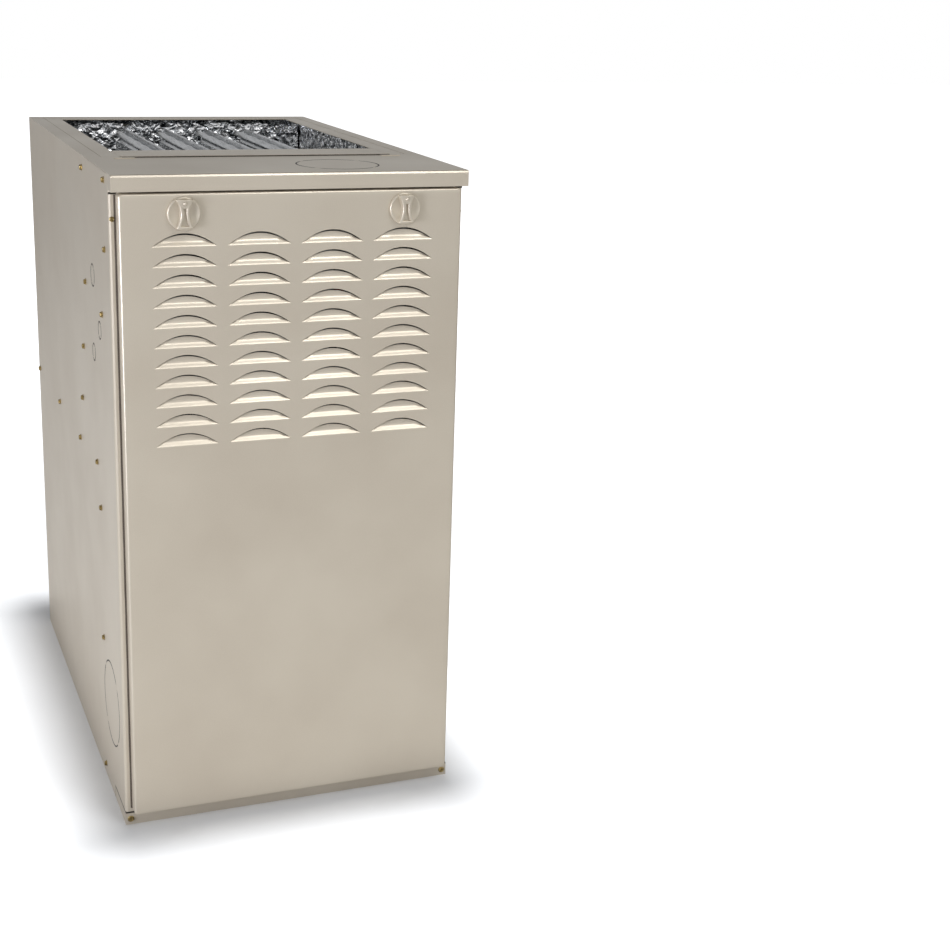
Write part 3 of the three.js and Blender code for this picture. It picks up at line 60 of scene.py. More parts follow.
# an sRGB hex colour as the linear values that Blender works in
def linear(hexColour):
    parts = [int(hexColour[i:i + 2], 16) / 255 for i in (1, 3, 5)]
    return [c / 12.92 if c <= 0.04045 else ((c + 0.055) / 1.055) ** 2.4 for c in parts] + [1.0]


# adds one node, with its settings and whatever feeds its sockets
def addNode(tree, kind, settings=None, inputs=None, stops=None):
    node = tree.nodes.new(kind)
    for name, value in (settings or {}).items():
        setattr(node, name, value)
    for socket, value in (inputs or {}).items():
        if isinstance(value, bpy.types.NodeSocket):
            tree.links.new(value, node.inputs[socket])
        else:
            node.inputs[socket].default_value = value
    if stops:  # colour ramp: list of (position, colour)
        ramp = node.color_ramp
        while len(ramp.elements) < len(stops):
            ramp.elements.new(0.5)
        for element, (position, colour) in zip(ramp.elements, stops):
            element.position = position
            element.color = colour
    return node


# a material with its shader wired to the output
def startMaterial(name, inputs):
    material = bpy.data.materials.new(name)
    material.use_nodes = True
    tree = material.node_tree
    tree.nodes.clear()
    shader = addNode(tree, "ShaderNodeBsdfPrincipled", inputs=inputs)
    addNode(tree, "ShaderNodeOutputMaterial", inputs={"Surface": shader.outputs["BSDF"]})
    place = addNode(tree, "ShaderNodeTexCoord").outputs["Object"]
    return material, tree, shader, place


# grey ramp values, for roughness and masks
def grey(value):
    return [value, value, value, 1.0]


# mesh object from points and faces, riding on a body
def makePiece(name, points, faces, material, body):
    mesh = bpy.data.meshes.new(name)
    mesh.from_pydata([tuple(p) for p in points], [], faces)
    mesh.validate()
    mesh.materials.append(material)
    piece = bpy.data.objects.new(name, mesh)
    bpy.context.scene.collection.objects.link(piece)
    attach(piece, body)
    return piece


# rounded normals, with a hard edge wherever the surface turns more than this
def smoothMesh(piece, degrees):
    mesh = piece.data
    mesh.polygons.foreach_set("use_smooth", [True] * len(mesh.polygons))
    mesh.set_sharp_from_angle(angle=math.radians(degrees))
    mesh.update()


# gives sheet thickness to a surface and keeps the result as plain mesh
def thicken(piece, thickness):
    solid = piece.modifiers.new("sheet", "SOLIDIFY")
    solid.thickness = thickness
    solid.offset = -1
    solid.use_even_offset = True
    ready = piece.evaluated_get(bpy.context.evaluated_depsgraph_get())
    made = bpy.data.meshes.new_from_object(ready)
    piece.modifiers.clear()
    made.name = piece.name
    piece.data = made


# quads between rings that have the same number of points; the last ring is closed, the first may be
def loftRings(rings, closeFirst=False):
    count = len(rings[0])
    points = [p for ring in rings for p in ring]
    faces = []
    for r in range(len(rings) - 1):
        for i in range(count):
            j = (i + 1) % count
            faces.append((r * count + i, r * count + j, (r + 1) * count + j, (r + 1) * count + i))
    if closeFirst:
        faces.append(tuple(reversed(range(count))))
    faces.append(tuple((len(rings) - 1) * count + i for i in range(count)))
    return points, faces


# circle that faces the front
def circleRing(x, z, radius, y, count):
    angles = [2 * math.pi * i / count for i in range(count)]
    return [mm(x + radius * math.cos(a), y, z + radius * math.sin(a)) for a in angles]


# joins several (points, faces) shapes into one
def merged(shapes):
    points, faces = [], []
    for shapePoints, shapeFaces in shapes:
        start = len(points)
        points += list(shapePoints)
        faces += [tuple(i + start for i in face) for face in shapeFaces]
    return points, faces


# makes every loose shell of a mesh face outwards
def faceOut(piece):
    work = bmesh.new()
    work.from_mesh(piece.data)
    bmesh.ops.recalc_face_normals(work, faces=work.faces)
    work.to_mesh(piece.data)
    work.free()


# closed piece from a (points, faces) shape, facing outwards; smoothed where an angle is given
def makeShell(name, shape, material, body, sharp=None):
    points, faces = shape
    piece = makePiece(name, points, faces, material, body)
    faceOut(piece)
    if sharp:
        smoothMesh(piece, sharp)
    return piece


# camera, fitted to the cabinet's corners in the photograph; place in metres, angles in degrees

camera = {
    "place": (-0.53107, -2.26066, 1.07875),
    "azimuth": 22.2585, "elevation": 15.5665, "roll": 1.8687,
    "lens": 61.149, "shiftUp": -0.0505,
}
azimuth, elevation, roll = (math.radians(camera[k]) for k in ("azimuth", "elevation", "roll"))
forward = Vector((
    math.sin(azimuth) * math.cos(elevation), math.cos(azimuth) * math.cos(elevation), -math.sin(elevation),
))
level = Vector((math.cos(azimuth), -math.sin(azimuth), 0))
upright = level.cross(forward)
right = level * math.cos(roll) + upright * math.sin(roll)
up = upright * math.cos(roll) - level * math.sin(roll)
lensData = bpy.data.cameras.new("photoCamera")
lensData.lens = camera["lens"]
lensData.sensor_width = 36
lensData.shift_y = camera["shiftUp"]
lensData.clip_start = 0.05
lensData.clip_end = 60
photoCamera = bpy.data.objects.new("photoCamera", lensData)
bpy.context.scene.collection.objects.link(photoCamera)
turn = Matrix((right, up, -forward)).transposed().to_4x4()
photoCamera.matrix_world = Matrix.Translation(camera["place"]) @ turn
bpy.context.scene.camera = photoCamera
print("camera placed")


# materials

# satin metallic stoving enamel on sheet steel: a soft even sheen, a trace of orange peel
def makeEnamel():
    material, tree, shader, place = startMaterial("stovedEnamelOnSteel", {
        "Metallic": 0.5, "IOR": 1.5, "Coat Weight": 0.05, "Coat Roughness": 0.3,
    })
    # slow drift of the tone over 180 mm
    cloud = addNode(tree, "ShaderNodeTexNoise", {}, {"Vector": place, "Scale": 5.5, "Detail": 3.0})
    # 1.1 mm mica fleck, coarser than real
    fleck = addNode(tree, "ShaderNodeTexNoise", {}, {"Vector": place, "Scale": 900.0, "Detail": 1.0})
    blend = addNode(tree, "ShaderNodeMath", {"operation": "MULTIPLY_ADD"}, {
        0: fleck.outputs["Fac"], 1: 0.35, 2: cloud.outputs["Fac"],
    })
    tint = addNode(tree, "ShaderNodeValToRGB", {}, {"Fac": blend.outputs[0]},
                   [(0.38, linear("#C2B8A7")), (0.82, linear("#CDC4B3"))])
    tree.links.new(tint.outputs["Color"], shader.inputs["Base Color"])
    rough = addNode(tree, "ShaderNodeValToRGB", {}, {"Fac": cloud.outputs["Fac"]},
                    [(0.3, grey(0.39)), (0.7, grey(0.34))])
    tree.links.new(rough.outputs["Color"], shader.inputs["Roughness"])
    # 2.4 mm orange peel
    peel = addNode(tree, "ShaderNodeTexNoise", {}, {"Vector": place, "Scale": 420.0, "Detail": 2.0})
    bump = addNode(tree, "ShaderNodeBump", {}, {"Strength": 0.10, "Distance": 0.0002, "Height": peel.outputs["Fac"]})
    tree.links.new(bump.outputs["Normal"], shader.inputs["Normal"])
    return material


# hot-dip galvanised sheet: grey metal with frosty spangles 8 to 12 mm across
def makeGalvanised():
    material, tree, shader, place = startMaterial("galvanisedSheet", {"Metallic": 1.0})
    spangle = addNode(tree, "ShaderNodeTexVoronoi", {}, {"Vector": place, "Scale": 100.0})
    tone = addNode(tree, "ShaderNodeSeparateColor", {}, {"Color": spangle.outputs["Color"]})
    tint = addNode(tree, "ShaderNodeValToRGB", {}, {"Fac": tone.outputs[0]},
                   [(0.0, linear("#9CA1A5")), (1.0, linear("#C9CDD0"))])
    rough = addNode(tree, "ShaderNodeValToRGB", {}, {"Fac": tone.outputs[1]}, [(0.0, grey(0.34)), (1.0, grey(0.52))])
    tree.links.new(tint.outputs["Color"], shader.inputs["Base Color"])
    tree.links.new(rough.outputs["Color"], shader.inputs["Roughness"])
    return material


# steel with a yellow chromate zinc plating: warm, uneven, slightly iridescent
def makeYellowZinc():
    material, tree, shader, place = startMaterial("yellowZincPlate", {"Metallic": 1.0})
    patch = addNode(tree, "ShaderNodeTexNoise", {}, {"Vector": place, "Scale": 350.0, "Detail": 2.0})  # 3 mm patches
    tint = addNode(tree, "ShaderNodeValToRGB", {}, {"Fac": patch.outputs["Fac"]},
                   [(0.3, linear("#6F6144")), (0.5, linear("#B39E6C")), (0.7, linear("#94835A"))])
    rough = addNode(tree, "ShaderNodeValToRGB", {}, {"Fac": patch.outputs["Fac"]},
                    [(0.3, grey(0.42)), (0.7, grey(0.26))])
    tree.links.new(tint.outputs["Color"], shader.inputs["Base Color"])
    tree.links.new(rough.outputs["Color"], shader.inputs["Roughness"])
    return material


# aluminium foil facing over glass blanket: bright rolled metal, creased; its colour is darkened along the creases as
# painted shade
def makeFoil():
    material, tree, shader, place = startMaterial("rolledAluminiumFoil", {"Metallic": 1.0})
    warp = addNode(tree, "ShaderNodeTexNoise", {}, {"Vector": place, "Scale": 30.0, "Detail": 2.0})
    moved = addNode(tree, "ShaderNodeVectorMath", {"operation": "MULTIPLY_ADD"}, {
        0: warp.outputs["Color"], 1: (0.03, 0.03, 0.03), 2: place,
    })
    # 10 mm folds, whose edges carry painted shade, and 5 mm facets
    creaseShade = addNode(tree, "ShaderNodeTexVoronoi", {"feature": "DISTANCE_TO_EDGE"}, {
        "Vector": moved.outputs[0], "Scale": 95.0,
    })
    small = addNode(tree, "ShaderNodeTexVoronoi", {}, {"Vector": moved.outputs[0], "Scale": 210.0})
    tone = addNode(tree, "ShaderNodeSeparateColor", {}, {"Color": small.outputs["Color"]})
    mixed = addNode(tree, "ShaderNodeMath", {"operation": "MULTIPLY_ADD"}, {
        0: creaseShade.outputs["Distance"], 1: 1.1, 2: tone.outputs[0],
    })
    # painted shade: darkest along the crease lines; the facets spread from grey to white as painted glints and
    # shade, facet by facet
    tint = addNode(tree, "ShaderNodeValToRGB", {}, {"Fac": mixed.outputs[0]}, [
        (0.06, linear("#4A4D50")), (0.22, linear("#A3A7AB")), (0.45, linear("#EDEFF1")), (1.0, linear("#FFFFFF")),
    ])
    tree.links.new(tint.outputs["Color"], shader.inputs["Base Color"])
    rough = addNode(tree, "ShaderNodeValToRGB", {}, {"Fac": tone.outputs[1]}, [(0.0, grey(0.14)), (1.0, grey(0.30))])
    tree.links.new(rough.outputs["Color"], shader.inputs["Roughness"])
    bump = addNode(tree, "ShaderNodeBump", {}, {
        "Strength": 0.55, "Distance": 0.0012, "Height": small.outputs["Distance"],
    })
    tree.links.new(bump.outputs["Normal"], shader.inputs["Normal"])
    return material


# aluminised steel, pressed: grey, drawn marks along the bends, heat-dulled
def makeAluminised():
    material, tree, shader, place = startMaterial("aluminisedSteel", {"Metallic": 1.0})
    stretch = addNode(tree, "ShaderNodeMapping", {}, {"Vector": place, "Scale": (1.0, 0.12, 1.0)})
    # drawing marks 4 mm wide
    drawn = addNode(tree, "ShaderNodeTexNoise", {}, {"Vector": stretch.outputs[0], "Scale": 260.0, "Detail": 3.0})
    tint = addNode(tree, "ShaderNodeValToRGB", {}, {"Fac": drawn.outputs["Fac"]},
                   [(0.32, linear("#A4A7AA")), (0.68, linear("#DADCDE"))])
    rough = addNode(tree, "ShaderNodeValToRGB", {}, {"Fac": drawn.outputs["Fac"]},
                    [(0.3, grey(0.22)), (0.7, grey(0.36))])
    tree.links.new(tint.outputs["Color"], shader.inputs["Base Color"])
    tree.links.new(rough.outputs["Color"], shader.inputs["Roughness"])
    return material


# a non-metal or cast finish with a fine grain: two colours, a roughness range and a bump
def makeGrained(name, light, dark, grainMm, rough, inputs, bumpMm=0.1):
    material, tree, shader, place = startMaterial(name, inputs)
    grain = addNode(tree, "ShaderNodeTexNoise", {}, {"Vector": place, "Scale": 1000.0 / grainMm, "Detail": 3.0})
    tint = addNode(tree, "ShaderNodeValToRGB", {}, {"Fac": grain.outputs["Fac"]},
                   [(0.3, linear(dark)), (0.7, linear(light))])
    spread = 0.06  # raised grains are polished, hollows stay dull
    gloss = addNode(tree, "ShaderNodeValToRGB", {}, {"Fac": grain.outputs["Fac"]},
                    [(0.3, grey(rough + spread)), (0.7, grey(rough - spread))])
    bump = addNode(tree, "ShaderNodeBump", {}, {
        "Strength": 0.4, "Distance": bumpMm / 1000, "Height": grain.outputs["Fac"],
    })
    tree.links.new(tint.outputs["Color"], shader.inputs["Base Color"])
    tree.links.new(gloss.outputs["Color"], shader.inputs["Roughness"])
    tree.links.new(bump.outputs["Normal"], shader.inputs["Normal"])
    return material


enamel = makeEnamel()
galvanised = makeGalvanised()
yellowZinc = makeYellowZinc()
foil = makeFoil()
aluminised = makeAluminised()
# half-gloss black, faint grain
blackPaint = makeGrained("blackStovedPaint", "#2A2B2D", "#1D1E20", 1.5, 0.48, {"Metallic": 0.0, "IOR": 1.5})
# grey, sandy skin of the die
castZinc = makeGrained("castZincAlloy", "#9A9DA0", "#7C7F83", 1.2, 0.5, {"Metallic": 1.0}, 0.2)
# dull off-white
ceramic = makeGrained("firedSteatite", "#EAE5DA", "#DCD5C6", 1.0, 0.62, {"IOR": 1.55})
# soft matt red
redSilicone = makeGrained("mouldedSilicone", "#A8382B", "#8E2C22", 2.0, 0.55, {"IOR": 1.43})
# glassy green
circuitBoard = makeGrained("solderMaskOnGlassEpoxy", "#2F7049", "#255C3B", 3.0, 0.38, {"IOR": 1.52})
# fibrous, dull
filterCard = makeGrained("pleatedFilterPaper", "#DDDACF", "#CFCBBE", 0.8, 0.85, {"IOR": 1.45}, 0.25)

slotMaterials = {
    "painted_cabinet": enamel, "galvanised_steel": galvanised, "yellow_zinc": yellowZinc, "foil_facing": foil,
    "aluminised_steel": aluminised, "black_paint": blackPaint, "cast_zinc": castZinc, "ceramic": ceramic,
    "red_plastic": redSilicone, "circuit_board": circuitBoard, "card": filterCard,
}
# degrees a surface may turn before its edge shows hard
nodeSharp = {"folded": 32, "pressed": 50}
slotOf = {part["node"]: part["material_slot"] for part in frame["record"]["subparts"]}
for name, part in nodes.items():
    part.data.materials.clear()
    part.data.materials.append(slotMaterials[slotOf[name]])
    smoothMesh(part, nodeSharp["pressed" if name.startswith("heat_exchanger") else "folded"])
print("materials on", len(nodes), "nodes")


# casing of the furnace, in millimetres: half its width, its front and top faces
casing = {"halfWidth": 222.5, "front": -351.0, "top": 846.0}


# louvred door

doorLook = {
    "halfWidth": 214.0, "bottom": 21.8, "top": 823.5, "front": -371.0, "back": -352.5,
    "sheet": 1.2, "margin": 7.0, "edgeRadius": 2.6, "cornerRadius": 2.0, "leastCorner": 0.8, "sharp": 50,
    "tuckHalf": 192.5, "tuckStart": -353.5, "tuckBack": -347.0, "tuckEase": 0.3,
    "columns": 4, "rows": 11, "columnPitch": 91.5, "rowPitch": 24.6, "lowestFoot": 514.0,
    "louvreWidth": 79.0, "rise": 16.2, "acrossSteps": 28, "surround": 0.9, "surroundAcross": 1.4,
    # section of a blade, (share of the rise, depth in mm): a sloping sill that catches the light, a steeper face
    "bladeSection": ((0.0, 0.0), (0.03, 0.1), (0.08, 0.55), (0.29, 3.2), (0.35, 3.8), (0.42, 4.3), (0.9, 4.75)),
    # rows of points up a blade, as shares of the rise; the rest is the open slot
    "bladeLevels": (0.03, 0.08, 0.15, 0.22, 0.29, 0.35, 0.42, 0.56, 0.7, 0.83),
    "knobRight": 138.0, "knobHeight": 800.0, "knobHole": 4.5, "holeSteps": 24,
}


# closed ring of a rounded rectangle in the door's plane
def roundedRing(halfWidth, low, high, radius, y, perCorner=5):
    ring = []
    corners = [(halfWidth, high, 0), (-halfWidth, high, 90), (-halfWidth, low, 180), (halfWidth, low, 270)]
    for x, z, start in corners:
        cx, cz = x - math.copysign(radius, x), z - radius if z == high else z + radius
        for i in range(perCorner):
            angle = math.radians(start + 90 * i / (perCorner - 1))
            ring.append(mm(cx + radius * math.cos(angle), y, cz + radius * math.sin(angle)))
    return ring


# half-moon outline of one louvre: foot line left to right, then the arc back
def louvreLoop(x, foot, grow):
    d = doorLook
    steps = d["acrossSteps"]
    half = d["louvreWidth"] / 2 + grow * d["surroundAcross"]
    line, arc = [], []
    for i in range(steps + 1):
        across = -math.cos(math.pi * i / steps)
        line.append((x + across * half, foot - grow))
        arc.append((x + across * half, foot + (d["rise"] + grow * 2) * (1 - across * across) - grow))
    return line, arc[1:-1][::-1]


# how far a blade stands behind the door's face at a share of the rise
def bladeDepth(height):
    section = doorLook["bladeSection"]
    for (low, first), (high, second) in zip(section, section[1:]):
        if height <= high:
            return first + (second - first) * (height - low) / (high - low)
    return section[-1][1]


# door as one folded sheet with its windows and blades, and the fold along its foot
def makeDoor():
    d = doorLook
    work = bmesh.new()
    y = d["front"]

    def ringVerts(points):
        return [work.verts.new(p) for p in points]

    def loopEdges(verts):
        pairs = [(verts[i], verts[(i + 1) % len(verts)]) for i in range(len(verts))]
        return [work.edges.get(pair) or work.edges.new(pair) for pair in pairs]

    def bridge(first, second):
        for i in range(len(first)):
            j = (i + 1) % len(first)
            work.faces.new((first[i], first[j], second[j], second[i]))

    # folded rim: flat margin, quarter-round bend, side wall
    radius = d["edgeRadius"]
    profile = [(d["margin"], 0.0), (radius, 0.0)]
    for degrees in (18, 36, 54, 72, 90):
        a = math.radians(degrees)
        profile.append((radius * (1 - math.sin(a)), radius * (1 - math.cos(a))))
    profile.append((0.0, d["back"] - d["front"]))
    rings = []
    for inset, depth in profile:
        corner = max(d["cornerRadius"] + radius - inset, d["leastCorner"])
        rings.append(ringVerts(roundedRing(
            d["halfWidth"] - inset, d["bottom"] + inset, d["top"] - inset, corner, y + depth,
        )))
    for first, second in zip(rings, rings[1:]):
        bridge(first, second)
    edges = loopEdges(rings[0])

    # windows and blades
    for row in range(d["rows"]):
        for column in range(d["columns"]):
            x = (column - (d["columns"] - 1) / 2) * d["columnPitch"]
            foot = d["lowestFoot"] + row * d["rowPitch"]
            outer = [ringVerts([mm(a, y, b) for a, b in part]) for part in louvreLoop(x, foot, d["surround"])]
            inner = [ringVerts([mm(a, y, b) for a, b in part]) for part in louvreLoop(x, foot, 0.0)]
            bridge(outer[0] + outer[1], inner[0] + inner[1])
            edges += loopEdges(outer[0] + outer[1])
            # blade: the same section all along, cut off under the arc, closing to a point at both tips
            steps = d["acrossSteps"]
            previous = inner[0]
            for level in d["bladeLevels"]:
                current = [previous[0]]
                for i in range(1, steps):
                    across = -math.cos(math.pi * i / steps)
                    share = 1 - across * across
                    current.append(work.verts.new(mm(
                        x + across * d["louvreWidth"] / 2,
                        y + bladeDepth(level * share),
                        foot + level * d["rise"] * share,
                    )))
                current.append(previous[-1])
                for i in range(steps):
                    corners = [previous[i], previous[i + 1], current[i + 1], current[i]]
                    corners = list(dict.fromkeys(corners))
                    if len(corners) > 2:
                        work.faces.new(corners)
                previous = current

    # holes for the latch shafts
    for side in (-1, 1):
        hole = circleRing(side * d["knobRight"], d["knobHeight"], d["knobHole"], y, d["holeSteps"])
        edges += loopEdges(ringVerts(hole))
    bmesh.ops.triangle_fill(work, use_beauty=True, use_dissolve=False, edges=edges, normal=(0, -1, 0))
    bmesh.ops.recalc_face_normals(work, faces=work.faces)
    # the outside of the pan faces the front
    middle = min(work.faces, key=lambda f: (f.calc_center_median() - mm(0, y, 300)).length)
    if middle.normal.y > 0:
        bmesh.ops.reverse_faces(work, faces=work.faces)
    mesh = bpy.data.meshes.new("doorSkin")
    work.to_mesh(mesh)
    work.free()
    mesh.materials.append(enamel)
    door = bpy.data.objects.new("doorPan", mesh)
    bpy.context.scene.collection.objects.link(door)
    thicken(door, d["sheet"] / 1000)
    smoothMesh(door, d["sharp"])
    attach(door, "door")
    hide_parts("louvred_door")
    # fold along the bottom that tucks over the base rail
    z0, z1 = d["bottom"], d["bottom"] + d["sheet"]
    points = [mm(x, depth, z) for x in (-d["tuckHalf"], d["tuckHalf"])
              for depth in (d["tuckStart"], d["tuckBack"]) for z in (z0, z1)]
    faces = [(0, 1, 3, 2), (4, 6, 7, 5), (0, 4, 5, 1), (2, 3, 7, 6), (0, 2, 6, 4), (1, 5, 7, 3)]
    tuck = makePiece("doorTuck", points, faces, enamel, "door")
    bevel = tuck.modifiers.new("eased", "BEVEL")
    bevel.width = d["tuckEase"] / 1000
    bevel.segments = 2


makeDoor()
print("door made")


# latch knobs

knobLook = {
    "radius": 20.0, "discBack": -371.3, "discFront": -376.3, "rim": 1.4, "front": -382.0, "sharp": 48,
    # the disc's edge and dish: (from the radius, from discBack) and (from the radius, from discFront)
    "discEdge": ((-0.2, 0.0), (0.0, -0.6)), "dish": ((-2.6, 0.1), (-3.6, 0.9), (-14.0, 1.0)),
    "waist": 5.2, "flare": 5.2, "length": 17.2, "edge": 1.3,
    # the grip's foot: (wider by, from discFront)
    "foot": ((0.5, 1.2), (0.2, -0.4)),
    # the slot and its walls down to its floor: (narrower by, under the grip's face)
    "slot": {"waist": 1.7, "flare": 3.6, "top": 6.5, "bottom": 14.6, "flareTop": 0.3},
    "slotWalls": ((-0.5, 0.0), (-0.1, 0.3), (0.25, 3.8)),
    "ball": 2.5, "ballUp": 12.6, "ballSunk": 0.6, "ballSteps": 7,
    "shaft": 3.0, "shaftFront": -371.8, "shaftBack": -347.8,
    "discAround": 56, "ballAround": 20, "shaftAround": 16,
}


# hourglass outline round the grip, wider at both ends
def hourglass(x, z, waist, flare, top, bottom, y, shrink=0.0, steps=14, flareTop=None):
    flareTop = flare if flareTop is None else flareTop
    side = []
    for i in range(steps + 1):
        t = -1 + 2 * i / steps
        reach = (bottom if t < 0 else top) - shrink
        width = waist + (flare if t < 0 else flareTop) * t * t - shrink
        side.append((max(width, 0.15), t * reach))
    ring = [mm(x + w, y, z + h) for w, h in side]
    ring += [mm(x - w, y, z + h) for w, h in reversed(side)]
    return ring


# dished disc with an hourglass grip, a slot, a ball and the shaft behind; side is -1 at the left
def makeKnob(side):
    k = knobLook
    x, z = side * doorLook["knobRight"], doorLook["knobHeight"]
    # disc, with a rolled rim and a slight dish inside it
    radius, face, rim = k["radius"], k["discFront"], k["rim"]
    profile = [(radius + r, k["discBack"] + y) for r, y in k["discEdge"]] + [(radius, face + rim)]
    for degrees in (22, 45, 68, 90):
        a = math.radians(degrees)
        profile.append((radius - rim * (1 - math.cos(a)), face + rim * (1 - math.sin(a))))
    profile += [(radius + r, face + y) for r, y in k["dish"]]
    disc = loftRings([circleRing(x, z, r, y, k["discAround"]) for r, y in profile], closeFirst=True)
    # raised grip with rounded shoulders and the slot sunk in it
    outline = {"flare": k["flare"], "top": k["length"], "bottom": k["length"]}
    rings = [hourglass(x, z, k["waist"] + wider, y=face + y, **outline) for wider, y in k["foot"]]
    for degrees in (0, 30, 60, 90):
        a = math.radians(degrees)
        ease, drop = k["edge"] * (1 - math.cos(a)), k["edge"] * (1 - math.sin(a))
        rings.append(hourglass(x, z, k["waist"], y=k["front"] + drop, shrink=ease, **outline))
    for narrower, depth in k["slotWalls"]:
        rings.append(hourglass(x, z, y=k["front"] + depth, shrink=narrower, **k["slot"]))
    grip = loftRings(rings)
    # detent ball over the slot, half sunk
    ballRings = []
    for i in range(k["ballSteps"]):
        a = math.pi / 2 * i / k["ballSteps"]
        reach, depth = k["ball"] * math.cos(a), k["front"] + k["ballSunk"] - k["ball"] * math.sin(a)
        ballRings.append(circleRing(x, z + k["ballUp"], reach, depth, k["ballAround"]))
    ball = loftRings(ballRings)
    shaftRings = [circleRing(x, z, k["shaft"], y, k["shaftAround"]) for y in (k["shaftFront"], k["shaftBack"])]
    shaft = loftRings(shaftRings, closeFirst=True)
    bodyName = "latch_left" if side < 0 else "latch_right"
    node = "latch_knob_left" if side < 0 else "latch_knob_right"
    name = "latchKnobLeft" if side < 0 else "latchKnobRight"
    knob = makeShell(name, merged([disc, grip, ball, shaft]), enamel, bodyName, k["sharp"])
    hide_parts(node)


makeKnob(-1)
makeKnob(1)
print("knobs made")


# foil-faced blanket round the heat exchanger

foilLook = {
    "cell": 5.5, "jitter": 0.34,  # size of a facet in mm and how far its corners stray, as a share of it
    "deep": 3.4, "edgeDeep": 0.3, "leastDeep": 0.2,  # how far the face sinks in mm: inside, at the rim, at least
    "ridge": 62.0, "fineRidge": 2.3, "fineShare": 0.6, "gain": 1.3,  # long and fine folds
    "rest": 0.25, "ragged": 0.16,  # shares of the depth: everywhere, and by chance
}


# slab from a box whose inner face is crumpled; axis is the way that face looks
def makeBlanket(name, node, axis, seed):
    k = foilLook
    low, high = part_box(node)
    rng = random.Random(seed)
    across = 1 if axis[0] else 0  # the inner face spans this axis and z
    facing = 0 if axis[0] else 1
    inner = high[facing] if axis[facing] > 0 else low[facing]
    outer = low[facing] if axis[facing] > 0 else high[facing]
    step = k["cell"] / 1000
    columns = max(2, round((high[across] - low[across]) / step))
    rows = max(2, round((high[2] - low[2]) / step))
    points, faces = [], []

    def point(u, v, depth):
        p = [0.0, 0.0, 0.0]
        p[across], p[2], p[facing] = u, v, depth
        return Vector(p)

    for r in range(rows + 1):
        for c in range(columns + 1):
            u = low[across] + (high[across] - low[across]) * c / columns
            v = low[2] + (high[2] - low[2]) * r / rows
            edge = c in (0, columns) or r in (0, rows)
            if not edge:
                u += rng.uniform(-1, 1) * k["jitter"] * step
                v += rng.uniform(-1, 1) * k["jitter"] * step
            fold = abs(noise.noise(Vector((u, v, seed)) * k["ridge"]))
            fold += k["fineShare"] * abs(noise.noise(Vector((u, v, seed + 5)) * k["ridge"] * k["fineRidge"]))
            share = k["rest"] + min(fold * k["gain"], 1.0) * (1 - k["rest"]) + rng.uniform(-k["ragged"], k["ragged"])
            sunk = k["edgeDeep"] if edge else max(share * k["deep"], k["leastDeep"])
            points.append(point(u, v, inner - axis[facing] * sunk / 1000))
    stride = columns + 1
    for r in range(rows):
        for c in range(columns):
            a, e = r * stride + c, (r + 1) * stride + c
            b, d = a + 1, e + 1
            faces += [(a, b, d), (a, d, e)] if rng.random() < 0.5 else [(a, b, e), (b, d, e)]
    # back and edges of the slab
    rim = list(range(columns + 1))
    rim += [r * stride + columns for r in range(1, rows + 1)]
    rim += [rows * stride + c for c in range(columns - 1, -1, -1)]
    rim += [r * stride for r in range(rows - 1, 0, -1)]
    start = len(points)
    for i in rim:
        back = points[i].copy()
        back[facing] = outer
        points.append(back)
    for i in range(len(rim)):
        j = (i + 1) % len(rim)
        faces.append((rim[i], rim[j], start + j, start + i))
    faces.append(tuple(range(start + len(rim) - 1, start - 1, -1)))
    blanket = makeShell(name, (points, faces), foil, "cabinet")
    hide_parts(node)


makeBlanket("foilBlanketLeft", "insulation_left", (1, 0), 3)
makeBlanket("foilBlanketRight", "insulation_right", (-1, 0), 8)
makeBlanket("foilBlanketBack", "insulation_back", (0, -1), 14)
print("foil made")


# self-drilling screws

screwLook = {
    # rings from the washer's foot to the dished top: (radius, height) in mm, and whether it is a hexagon
    "rings": (
        (4.3, 0.02, False), (4.3, 0.42, False), (3.9, 0.7, False), (3.65, 0.8, True), (3.4, 1.0, True),
        (3.4, 2.5, True), (2.9, 3.0, True), (2.108, 3.0, False), (1.7, 2.65, False),
    ),
    "around": 24, "sharp": 35,
    "flangeRight": 218.3, "flangeHeight": 792.0, "flangeScale": 0.75, "flangeTurn": 12,
    "railRight": 216, "railHeight": 8, "railTurn": 20,
}
# (y, z) down the side, in millimetres
sideScrewPlaces = [
    (-155, 830), (-324, 835), (-319, 751), (-159, 683), (-285, 665), (-125, 590), (-100, 513), (-211, 454),
    (-66, 447.5), (136, 447), (364, 445), (-230, 397), (-218, 210), (-204, 17),
]


# hex washer head standing out along a direction from a point
def screwShape(centre, out, turnDegrees):
    out = Vector(out)
    side = Vector((0, 0, 1)).cross(out).normalized()
    top = out.cross(side)

    def ring(radius, lift, corners):
        points = []
        for i in range(screwLook["around"]):
            a = 2 * math.pi * i / screwLook["around"]
            r = radius
            if corners:  # distance from the middle to a hexagon's side at this angle
                inPart = (math.degrees(a) % 60) - 30
                r = radius * math.cos(math.radians(30)) / math.cos(math.radians(inPart))
            b = a + math.radians(turnDegrees)
            points.append(centre + (side * math.cos(b) + top * math.sin(b)) * r / 1000 + out * lift / 1000)
        return points

    return loftRings([ring(*spec) for spec in screwLook["rings"]], closeFirst=True)


